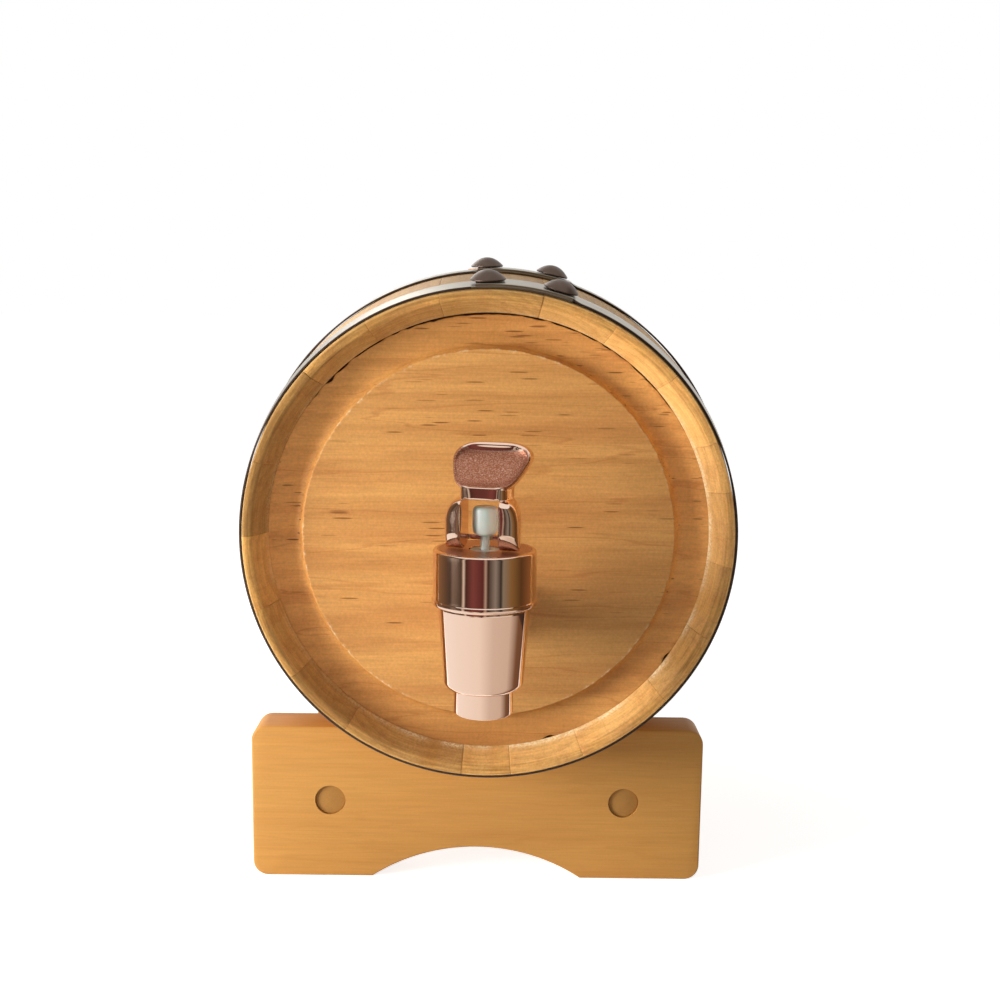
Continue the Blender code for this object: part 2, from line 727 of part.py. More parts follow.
def make_bonnet():
    foot = BONNET_TOP - BONNET_HEIGHT
    roof = BONNET_TOP - BONNET_ROOF
    inside = BONNET_RADIUS - BONNET_WALL
    lip = BONNET_RADIUS + BONNET_LIP
    edge_middle = (BONNET_RADIUS - BONNET_EDGE, BONNET_TOP - BONNET_EDGE)
    profile = [
        (BONNET_EYE_RADIUS, BONNET_TOP),
        *arc(edge_middle, BONNET_EDGE, 90.0, 0.0, 2),
        (BONNET_RADIUS, foot + BONNET_LIP_HEIGHT),
        (lip, foot + BONNET_LIP_HEIGHT - BONNET_LIP),
        (lip, foot),
        (inside, foot),
        (inside, roof),
        (BONNET_EYE_RADIUS, roof),
    ]
    turned("tap_bonnet", profile, "rose gold", TAP, TAP_SIDES, closed=True)


def make_gasket():
    """A flat ring between the bonnet and the body, with a collar that fills the bonnet's eye."""
    top = BONNET_TOP - BONNET_ROOF - SEAT_GAP
    foot = top - GASKET_THICKNESS
    collar = BONNET_EYE_RADIUS - SEAT_GAP
    eye = STEM_RADIUS + SEAT_GAP
    rim = BONNET_RADIUS - BONNET_WALL - SEAT_GAP
    profile = [
        (eye, BONNET_TOP - SEAT_GAP),
        (collar, BONNET_TOP - SEAT_GAP),
        (collar, top),
        (rim, top),
        (rim, foot),
        (eye, foot),
    ]
    turned("tap_gasket", profile, "silicone", TAP, TAP_SIDES, closed=True)


def cup_foot_height():
    return SEAT_HEIGHT + SEAT_GAP


def plunger_foot_height():
    return cup_foot_height() + CUP_HEIGHT - CUP_WALL - SEAT_GAP - FOOT_THICKNESS


def make_plunger():
    """A button that the lever's fork lifts, a stem through the gasket and a foot in the cup."""
    foot = plunger_foot_height()
    button = BUTTON_FOOT_HEIGHT
    top = button + BUTTON_HEIGHT
    profile = [
        (0.0, top),
        (BUTTON_RADIUS * 0.55, top - BUTTON_HEIGHT * 0.06),
        (BUTTON_RADIUS * 0.87, top - BUTTON_HEIGHT * 0.19),
        (BUTTON_RADIUS, top - BUTTON_HEIGHT * 0.38),
        (BUTTON_RADIUS, button + BUTTON_HEIGHT * 0.3),
        (BUTTON_RADIUS * 0.88, button + BUTTON_HEIGHT * 0.12),
        (BUTTON_RADIUS * 0.6, button),
        (STEM_RADIUS, button),
        (STEM_RADIUS, foot + FOOT_THICKNESS),
        (FOOT_RADIUS, foot + FOOT_THICKNESS),
        (FOOT_RADIUS, foot),
        (0.0, foot),
    ]
    turned("tap_plunger", profile, "milky plastic", TAP, PLUNGER_SIDES)


def make_seat_cup():
    """A soft cup that grips the plunger's foot and closes the port."""
    foot = cup_foot_height()
    top = foot + CUP_HEIGHT
    cavity_radius = FOOT_RADIUS + SEAT_GAP
    cavity_foot = plunger_foot_height() - SEAT_GAP
    cavity_top = top - CUP_WALL
    eye = STEM_RADIUS + SEAT_GAP
    profile = [
        (0.0, cavity_foot),
        (cavity_radius, cavity_foot),
        (cavity_radius, cavity_top),
        (eye, cavity_top),
        (eye, top),
        (CUP_RADIUS - CUP_WALL, top),
        (CUP_RADIUS, top - CUP_WALL),
        (CUP_RADIUS, foot),
        (0.0, foot),
    ]
    turned("tap_seat_cup", profile, "silicone", TAP, PLUNGER_SIDES)


def lever_pivot_place():
    """The pivot from the tap's axis, so that the round feet stand on the bonnet."""
    ahead = (-LEVER_AHEAD * math.sin(TAP_TURN), -LEVER_AHEAD * math.cos(TAP_TURN))
    return (*ahead, BONNET_TOP + SEAT_GAP + FORK_HALF_DEPTH)


def lever_face(height):
    """How far behind the pivot the paddle's leaning face lies at this height."""
    share = (height - COLLAR_TOP) / (PADDLE_TOP - COLLAR_TOP)
    return -COLLAR_FRONT + (PADDLE_LEAN + COLLAR_FRONT) * share


def lever_sections():
    """Level sections of the lever: height, front, back, and half width at the front and back."""
    depth = FORK_HALF_DEPTH
    wide = FORK_HALF_WIDTH
    collar = COLLAR_HALF_WIDTH
    neck = NECK_HALF_WIDTH
    sections = []
    for i in range(6):
        angle = math.radians(10 + 16 * i)
        half = depth * math.sin(angle)
        sections.append((-depth * math.cos(angle), -half, half, wide, wide))
    shoulder = COLLAR_FOOT - CHEEK_SHOULDER
    for rise in (0.0, 0.25, 0.5, 0.75, 0.93):
        share = rise**1.6
        sections.append(
            (
                CHEEK_SHOULDER + shoulder * rise,
                -depth + (depth - COLLAR_FRONT) * share,
                depth + (COLLAR_BACK - depth) * share,
                wide + (collar - wide) * share,
                wide + (neck - wide) * share,
            )
        )
    sections.append((COLLAR_FOOT, -COLLAR_FRONT, COLLAR_BACK, collar, neck))
    sections.append((COLLAR_TOP, -COLLAR_FRONT, COLLAR_BACK, collar, neck))
    flare = PADDLE_WIDEST - COLLAR_TOP
    tail = PADDLE_LEAN + PADDLE_THICKNESS
    for share in (0.18, 0.4, 0.7, 1.0):
        height = COLLAR_TOP + flare * share
        sections.append(
            (
                height,
                lever_face(height),
                COLLAR_BACK + (tail - COLLAR_BACK) * share,
                collar + (PADDLE_HALF_WIDTH - collar) * math.sqrt(share),
                neck + (PADDLE_HALF_WIDTH - neck) * math.sin(math.pi / 2 * share) ** 1.3,
            )
        )
    for angle in (30, 55, 72, 85):
        height = PADDLE_WIDEST + (PADDLE_TOP - PADDLE_WIDEST) * math.sin(math.radians(angle))
        half = PADDLE_HALF_WIDTH * math.cos(math.radians(angle)) ** 0.55
        sections.append((height, lever_face(height), tail, half, half))
    return sections


def section_point(angle, front, back, front_half, back_half):
    """A point of a box section with round corners."""
    power = 0.25
    across = math.copysign(abs(math.cos(angle)) ** power, math.cos(angle))
    deep = math.copysign(abs(math.sin(angle)) ** power, math.sin(angle))
    share = (deep + 1) / 2
    half = front_half + (back_half - front_half) * share
    return half * across, front + (back - front) * share


def make_lever():
    """A loft of the level sections, with a scooped face and a fork round the plunger's button."""
    bm = bmesh.new()
    rings = []
    for height, front, back, front_half, back_half in lever_sections():
        ring = []
        for i in range(LEVER_SIDES):
            angle = 2 * math.pi * (i + 0.5) / LEVER_SIDES
            x, y = section_point(angle, front, back, front_half, back_half)
            ring.append(bm.verts.new((x, y, height)))
        rings.append(ring)
    for lower, upper in zip(rings, rings[1:]):
        for i in range(LEVER_SIDES):
            j = (i + 1) % LEVER_SIDES
            bm.faces.new((lower[i], lower[j], upper[j], upper[i]))
    bm.faces.new(list(reversed(rings[0])))
    bm.faces.new(rings[-1])
    bmesh.ops.recalc_face_normals(bm, faces=bm.faces)
    mesh = bpy.data.meshes.new("tap_lever")
    bm.to_mesh(mesh)
    bm.free()
    lever = piece("tap_lever", mesh, "rose gold", LEVER_PIVOT)
    gap = FORK_GAP_HALF_WIDTH
    reach = FORK_HALF_DEPTH * 2
    web_front = LEVER_AHEAD + STEM_RADIUS + SEAT_GAP
    window = box_mesh("fork_window", (-gap, -reach, LIFTING_WEB_TOP), (gap, reach, COLLAR_FOOT))
    slot = box_mesh("fork_slot", (-gap, -reach, -reach), (gap, web_front, LIFTING_WEB_TOP + SEAT_GAP))
    here = Matrix.Identity(4)
    boolean(lever, cutter("fork_window", window, LEVER_PIVOT, here), "DIFFERENCE")
    boolean(lever, cutter("fork_slot", slot, LEVER_PIVOT, here), "DIFFERENCE")
    boolean(lever, make_scoop(), "DIFFERENCE")


def make_scoop():
    """A flattened ball, laid on the paddle's leaning face. It runs out over the collar's top edge."""
    rise = PADDLE_TOP - COLLAR_TOP
    run = PADDLE_LEAN + COLLAR_FRONT
    slope = math.atan2(rise, run)
    upper = math.hypot(rise, run) - SCOOP_RIM
    reach = upper * 0.53
    bm = bmesh.new()
    bmesh.ops.create_uvsphere(bm, u_segments=24, v_segments=12, radius=1.0)
    size = (PADDLE_HALF_WIDTH - SCOOP_RIM, reach, SCOOP_DEPTH)
    bmesh.ops.scale(bm, vec=size, verts=bm.verts)
    mesh = bpy.data.meshes.new("scoop")
    bm.to_mesh(mesh)
    bm.free()
    along = upper - reach
    middle = (0.0, along * math.cos(slope) - COLLAR_FRONT, COLLAR_TOP + along * math.sin(slope))
    place = Matrix.Translation(middle) @ Matrix.Rotation(slope, 4, "X")
    return cutter("scoop", mesh, LEVER_PIVOT, place)


for old in list(bpy.data.objects):
    bpy.data.objects.remove(old)
PARTS = new_collection("wooden_barrel")
CUTTERS = new_collection("cutters")
FINISHES = make_materials()
STAND = guide("stand", (STAND_OFFSET, BARREL_Y, 0.0))
BARREL = guide("barrel_axis", (0.0, BARREL_Y, BARREL_AXIS_HEIGHT), (math.pi / 2, 0.0, 0.0))
TAP = guide("tap_axis", (TAP_OFFSET, TAP_Y, BARREL_AXIS_HEIGHT))
LEVER_PIVOT = guide("lever_pivot", lever_pivot_place(), (0.0, 0.0, -TAP_TURN), TAP)

make_staves()
make_bung()
make_heads()
make_hoops()
make_stand()
make_tap_body()
make_shank_fittings()
make_bonnet()
make_gasket()
make_plunger()
make_seat_cup()
make_lever()
finish_meshes()
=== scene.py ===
"""A small wooden barrel with a lever tap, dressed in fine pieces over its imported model.

Metres, +Z up. The tap faces -Y. Lengths along the barrel are counted from its middle towards the
tap. Angles around it run counter-clockwise from its right side, as seen from the tap.
"""

import json
import math

import bmesh
import bpy
import numpy as np
from bpy.props import FloatProperty, FloatVectorProperty, IntProperty, PointerProperty
from mathutils import Matrix, Vector, noise


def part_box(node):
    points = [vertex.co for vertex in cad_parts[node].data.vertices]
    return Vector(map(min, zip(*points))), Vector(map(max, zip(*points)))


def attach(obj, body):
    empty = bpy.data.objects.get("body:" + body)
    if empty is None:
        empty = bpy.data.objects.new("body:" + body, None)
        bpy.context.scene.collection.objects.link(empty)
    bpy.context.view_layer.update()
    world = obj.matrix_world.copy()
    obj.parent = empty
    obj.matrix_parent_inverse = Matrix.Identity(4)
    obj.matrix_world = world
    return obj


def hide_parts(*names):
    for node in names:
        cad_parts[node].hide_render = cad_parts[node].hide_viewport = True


bl_info = {
    "name": "Wooden Barrel",
    "version": (1, 0, 0),
    "blender": (4, 5, 0),
    "location": "View3D > Sidebar > Barrel",
    "description": "Builds a small wooden barrel with a lever tap on its stand",
    "category": "Add Mesh",
}

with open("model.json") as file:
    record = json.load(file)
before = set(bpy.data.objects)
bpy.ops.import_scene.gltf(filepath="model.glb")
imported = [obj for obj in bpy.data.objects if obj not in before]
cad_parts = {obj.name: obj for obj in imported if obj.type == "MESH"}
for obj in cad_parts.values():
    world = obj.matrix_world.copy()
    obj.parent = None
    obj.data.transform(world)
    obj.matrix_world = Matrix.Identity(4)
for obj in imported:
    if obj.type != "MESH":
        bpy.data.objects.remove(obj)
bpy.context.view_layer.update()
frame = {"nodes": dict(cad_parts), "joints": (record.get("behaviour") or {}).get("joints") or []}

MM = 0.001
DEGREE = math.pi / 180

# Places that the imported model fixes
HEAD_LOW, HEAD_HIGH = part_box("rear_head")
STAVE_LOW, STAVE_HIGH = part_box("stave_01")
BONNET_LOW, BONNET_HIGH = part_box("tap_bonnet")
PLATE_LOW, PLATE_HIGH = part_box("stand_front_plate")
AXIS_HEIGHT = (HEAD_LOW.z + HEAD_HIGH.z) / 2
BARREL_Y = (STAVE_LOW.y + STAVE_HIGH.y) / 2
HALF_LENGTH = (STAVE_HIGH.y - STAVE_LOW.y) / 2
TAP_AXIS = Vector(((BONNET_LOW.x + BONNET_HIGH.x) / 2, (BONNET_LOW.y + BONNET_HIGH.y) / 2, AXIS_HEIGHT))
STAND_X = (PLATE_LOW.x + PLATE_HIGH.x) / 2
LEVER_JOINT = next(joint for joint in frame["joints"] if joint["name"] == "lever_turn")

# Clearance between seated pieces
SEAT_GAP = 0.3 * MM
WELD_DISTANCE = 0.000002

# Staves: angles in flats of 6 degrees
FLAT_ANGLE = 6 * DEGREE
STAVE_FLATS = (2, 3, 3, 3, 4, 3, 3, 4, 3, 3, 3, 3, 5, 2, 3, 4, 3, 3, 3)
FIRST_JOINT_FLATS = 2
BUNG_STAVE_INDEX = 4
CHIME_FLAT = 3.6 * MM
CHIME_EDGE = 1.0 * MM
CHIME_LEAN = 0.9 * MM
CHIME_SLOPE_WIDTH = 8.1 * MM
CROZE_DEPTH_IN = 10.7 * MM
CROZE_WIDTH = 5.0 * MM
CROZE_CUT = 4.1 * MM

# Heads
HEAD_RECESS = 8.0 * MM
HEAD_THICKNESS = 10.0 * MM
HEAD_BORDER = 12.9 * MM
HEAD_STEP = 1.7 * MM
COVE_DIP = 1.1 * MM
COVE_LOW = 0.25
HEAD_BACK_BEVEL = 3.0 * MM
HEAD_COLUMNS = 720
CRACK_WIDTH = 0.75 * MM
CRACK_DEPTH = 1.5 * MM

# Bung
BUNG_RADIUS = 12.5 * MM
BUNG_TAPER = 1.2 * MM
BUNG_LENGTH = 15.0 * MM
BUNG_PROUD = 1.0 * MM

# Hoops, from their distance behind the chime's end, and their rivets in degrees
HEAD_HOOP_SETBACK = 1.5 * MM
QUARTER_HOOP_SETBACK = 64.5 * MM
HEAD_HOOP_RIVETS = (90.8, 74.4)
QUARTER_HOOP_RIVETS = (91.3, 76.0)
HOOPS = (
    ("front_head_hoop", 1, HEAD_HOOP_SETBACK, HEAD_HOOP_RIVETS),
    ("front_quarter_hoop", 1, QUARTER_HOOP_SETBACK, QUARTER_HOOP_RIVETS),
    ("rear_head_hoop", -1, HEAD_HOOP_SETBACK, HEAD_HOOP_RIVETS),
    ("rear_quarter_hoop", -1, QUARTER_HOOP_SETBACK, QUARTER_HOOP_RIVETS),
)
LAP_START = 71.5 * DEGREE
LAP_ANGLE = 22.0 * DEGREE
LAP_RISE_ANGLE = 1.6 * DEGREE
STRAP_EDGE = 0.18 * MM

# Stand
PLATE_SETBACK = 34.5 * MM
DOWEL_SPREAD = 59.4 * MM
DOWEL_HEIGHT = 32.4 * MM
DOWEL_SUNK = 0.9 * MM

# Tap: heights are counted from the barrel's axis
TAP_AHEAD = 34.3 * MM
SHANK_HEIGHT = -27.0 * MM
SHANK_RADIUS = 8.0 * MM
SHANK_BORE_RADIUS = 5.0 * MM
SHANK_END = 64.6 * MM
NECK_RADIUS = 9.0 * MM
NECK_START = 12.0 * MM
FLANGE_RADIUS = 12.5 * MM
FLANGE_THICKNESS = 2.5 * MM
WASHER_RADIUS = 13.0 * MM
WASHER_THICKNESS = 2.0 * MM
BONNET_TOP = 3.4 * MM
BONNET_WALL = 2.0 * MM
BONNET_ROOF = 2.5 * MM
BONNET_LIP = 0.4 * MM
BONNET_LIP_HEIGHT = 2.2 * MM
BONNET_EYE_RADIUS = 5.4 * MM
BODY_FOOT_HEIGHT = -42.0 * MM
BODY_FOOT_ROUND = 2.9 * MM
SPOUT_BORE_RADIUS = 8.2 * MM
SPOUT_FOOT_HEIGHT = -53.6 * MM
CHAMBER_RADIUS = 11.0 * MM
SEAT_HEIGHT = -33.0 * MM
SEAT_THICKNESS = 2.5 * MM
PORT_RADIUS = 5.8 * MM
GASKET_THICKNESS = 1.7 * MM
STEM_RADIUS = 1.5 * MM
BUTTON_RADIUS = 4.3 * MM
BUTTON_FOOT_HEIGHT = 8.0 * MM
BUTTON_HEIGHT = 10.0 * MM
FOOT_RADIUS = 4.6 * MM
FOOT_THICKNESS = 2.0 * MM
CUP_HEIGHT = 9.0 * MM
CUP_WALL = 1.8 * MM
SHANK_AXIS = TAP_AXIS + Vector((0.0, 0.0, SHANK_HEIGHT))
UPRIGHT = Matrix.Translation(TAP_AXIS)
# Points the top of a piece that was turned around Z backwards from the tap
LYING = Matrix.Translation(SHANK_AXIS) @ Matrix.Rotation(-math.pi / 2, 4, "X")

# Lever, from its pivot: in front is negative
LEVER_AHEAD = 2.8 * MM
FORK_HALF_WIDTH = 12.9 * MM
FORK_HALF_DEPTH = 6.7 * MM
FORK_GAP_HALF_WIDTH = 6.5 * MM
FORK_FLARE = 2.4 * MM
CHEEK_SHOULDER = 0.8 * MM
COLLAR_FOOT = 10.2 * MM
COLLAR_TOP = 14.2 * MM
COLLAR_FRONT = 3.2 * MM
COLLAR_BACK = 7.6 * MM
COLLAR_HALF_WIDTH = 7.4 * MM
NECK_HALF_WIDTH = 10.0 * MM
LIFTING_WEB_TOP = -2.7 * MM
PADDLE_TOP = 28.4 * MM
PADDLE_WIDEST = 23.2 * MM
PADDLE_HALF_WIDTH = 13.6 * MM
PADDLE_LEAN = 9.8 * MM
PADDLE_THICKNESS = 3.0 * MM
PADDLE_SHIFT = 0.9 * MM
SCOOP_DEPTH = 2.4 * MM
SCOOP_RIM = 1.3 * MM
SCOOP_SIDE_RIM = 0.7 * MM

# The paddle's face: its length up from the collar's front edge, and its slope
FACE_LENGTH = math.hypot(PADDLE_TOP - COLLAR_TOP, PADDLE_LEAN + COLLAR_FRONT)
FACE_SLOPE = math.atan2(PADDLE_TOP - COLLAR_TOP, PADDLE_LEAN + COLLAR_FRONT)
# Turns Y to run up the paddle's face and Z to stand out of it
FACE_PLACE = Matrix.Translation((0.0, -COLLAR_FRONT, COLLAR_TOP)) @ Matrix.Rotation(FACE_SLOPE, 4, "X")

# Camera: the viewing angle of the photograph, and its place from the front of the barrel's axis
CAMERA_PITCH = 8.601 * DEGREE
CAMERA_YAW = 0.126 * DEGREE
CAMERA_ROLL = 0.717 * DEGREE
CAMERA_ASIDE = 3.03 * MM
CAMERA_AHEAD = 448.06 * MM
CAMERA_ABOVE = 82.55 * MM
CAMERA_LENS = 44.98
SENSOR_WIDTH = 36.0

# Light in watts, and the strength of the world's light at the horizon and overhead
KEY_PLACE = (-0.66, -0.37, 0.19)
KEY_SIZE = 0.32
KEY_POWER = 7.4
BACK_PLACE = (-0.45, 0.9, 0.8)
BACK_SIZE = 0.6
BACK_POWER = 2.5
HORIZON_LIGHT = 0.5
OVERHEAD_LIGHT = 0.24

# Floor, and cards around the front of the tap, that only mirrors show
FLOOR_REACH = 30.0
FLOOR_DROP = 0.2 * MM
FLOOR_LIFT = 0.79
CARD_SPREAD = 120 * DEGREE
CARD_COLUMNS = 145
CARD_AWAY = 0.45
CARD_HEIGHT = 0.7
MAT_NEAR = 0.02
MAT_FAR = 0.36
MAT_HEIGHT = 0.4 * MM
MAT_GLOW = 1.06
# How far along a card each tone lies, from its left end
CARD_TONES = {
    0.0: "#8A6A4C", 0.17: "#4A3E36", 0.2: "#7A6C60", 0.29: "#4E4036", 0.31: "#E2D8CC", 0.33: "#4A302A",
    0.4: "#7E4A48", 0.49: "#5E3230", 0.51: "#B8A498", 0.53: "#3E2A22", 0.6: "#8E8A84", 0.65: "#322C28",
    0.67: "#8A8478", 0.75: "#86683F", 0.86: "#5A4026", 1.0: "#8A5E38",
}
# Mat on the floor in front of the tap, and its far part, which only the spout shows
MAT_TONES = {
    0.0: "#FFFFFF", 0.45: "#F4EEE8", 0.6: "#D8CCC2", 0.78: "#D2C4B8", 0.9: "#7A5A44", 1.0: "#6A4C38",
}
FAR_MAT_TONES = {
    0.0: "#FFFFFF", 0.34: "#F4EEE8", 0.38: "#A88C7A", 0.42: "#E8DCD0", 0.475: "#5E4638", 0.5: "#D8CABC",
    0.6: "#F0E8E0", 0.79: "#E0D6CE", 0.82: "#4A3830", 1.0: "#3A2C24",
}
WHITE = (1.0, 1.0, 1.0, 1.0)

# Kinds of node, and settings that many of them share
MATH = "ShaderNodeMath"
VECTOR = "ShaderNodeVectorMath"
RANGE = "ShaderNodeMapRange"
NOISE = "ShaderNodeTexNoise"
BUMP = "ShaderNodeBump"
ATTRIBUTE = "ShaderNodeAttribute"
COORDINATES = "ShaderNodeTexCoord"
MIX = "ShaderNodeMix"
MIX_A = 6
MIX_B = 7
COLOUR = {"out": 2, "data_type": "RGBA"}
SMOOTH = {"interpolation_type": "SMOOTHSTEP"}


def linear(code):
    """An sRGB hex value as the linear colour that a shader takes."""
    channels = [int(code[i : i + 2], 16) / 255 for i in (1, 3, 5)]
    low = [c / 12.92 if c <= 0.04045 else ((c + 0.055) / 1.055) ** 2.4 for c in channels]
    return (*low, 1.0)


def length_property(name, description, default):
    return FloatProperty(name=name, description=description, default=default, unit="LENGTH", precision=5)


def colour_property(name, description, code):
    return FloatVectorProperty(
        name=name, description=description, default=linear(code), size=4, min=0.0, max=1.0, subtype="COLOR"
    )


class BarrelSizes(bpy.types.PropertyGroup):
    """Sizes of the staves, hoops and rivets"""

    chime_radius: length_property("Chime Radius", "Outside radius of the barrel's ends", 90.0 * MM)
    bilge_radius: length_property("Bilge Radius", "Outside radius of its middle", 100.5 * MM)
    stave_thickness: length_property("Stave Thickness", "Thickness of the staves", 9.5 * MM)
    joint_gap: length_property("Joint Gap", "Gap between neighbouring staves", 0.06 * MM)
    hoop_thickness: length_property("Hoop Thickness", "Thickness of the hoop strap", 0.76 * MM)
    hoop_width: length_property("Hoop Width", "Width of the hoop strap", 16.0 * MM)
    rivet_radius: length_property("Rivet Radius", "Radius of a rivet's head", 6.5 * MM)
    rivet_height: length_property("Rivet Height", "Height of a rivet's head", 3.9 * MM)
    seed: IntProperty(name="Seed", description="Picks each stave's tint and grain", default=5, min=0)


class StandSizes(bpy.types.PropertyGroup):
    """Sizes of the stand"""

    cradle_depth: length_property("Cradle Depth", "How deep the barrel lies in the plates", 13.4 * MM)
    plate_thickness: length_property("Plate Thickness", "Thickness of a stand plate", 18.0 * MM)
    plate_corner: length_property("Plate Corner", "Radius of a plate's corners", 6.0 * MM)
    plate_edge: length_property("Plate Edge", "Rounding along a plate's edges", 0.8 * MM)
    arch_half_width: length_property("Arch Half Width", "Half the width of the arch", 42.3 * MM)
    arch_rise: length_property("Arch Rise", "Height of the arch", 12.9 * MM)
    dowel_radius: length_property("Dowel Radius", "Radius of the two dowels", 6.0 * MM)


class TapSizes(bpy.types.PropertyGroup):
    """Sizes of the tap's turned pieces"""

    bonnet_radius: length_property("Bonnet Radius", "Outside radius of the bonnet", 17.6 * MM)
    bonnet_height: length_property("Bonnet Height", "Height of the bonnet", 18.8 * MM)
    body_top_radius: length_property("Body Top Radius", "Radius under the bonnet", 15.9 * MM)
    body_foot_radius: length_property("Body Foot Radius", "Radius above the spout", 13.7 * MM)
    spout_radius: length_property("Spout Radius", "Outside radius of the spout", 10.2 * MM)


class BarrelColours(bpy.types.PropertyGroup):
    """Base colours of the finishes"""

    stave_wood: colour_property("Stave Wood", "Pale early wood of the staves", "#DDAF6A")
    head_wood: colour_property("Head Wood", "Pale early wood of the heads", "#DDA25A")
    stand_wood: colour_property("Stand Wood", "Pale early wood of the stand", "#CE964F")
    hoop_steel: colour_property("Hoop Steel", "Rolled steel strap", "#9A917D")
    rivet_bronze: colour_property("Rivet", "Bronzed steel rivets", "#6A574B")
    rose_gold: colour_property("Rose Gold", "Metallised plastic of the tap", "#F0D1BD")
    milky_plastic: colour_property("Milky Plastic", "Plunger", "#C8D2CA")
    silicone: colour_property("Silicone", "Gasket and washers", "#D5D3CC")
    nut_plastic: colour_property("Nut Plastic", "Nut inside the barrel", "#2B2A29")


def connect(node, inputs):
    """Sets a node's inputs, given in order or by name, to values or to other nodes' outputs."""
    for key, value in inputs.items() if isinstance(inputs, dict) else enumerate(inputs):
        if isinstance(value, bpy.types.NodeSocket):
            node.id_data.links.new(value, node.inputs[key])
        else:
            node.inputs[key].default_value = value


def add(tree, kind, inputs=(), out=0, **settings):
    """Adds a node with its settings and inputs, and gives back one of its outputs."""
    made = tree.nodes.new(kind)
    for name, value in settings.items():
        setattr(made, name, value)
    connect(made, inputs)
    return made.outputs[out] if len(made.outputs) else None


def new_material(name):
    """A material with only an output and a Principled shader."""
    made = bpy.data.materials.new(name)
    made.use_nodes = True
    return made, made.node_tree, made.node_tree.nodes["Principled BSDF"]


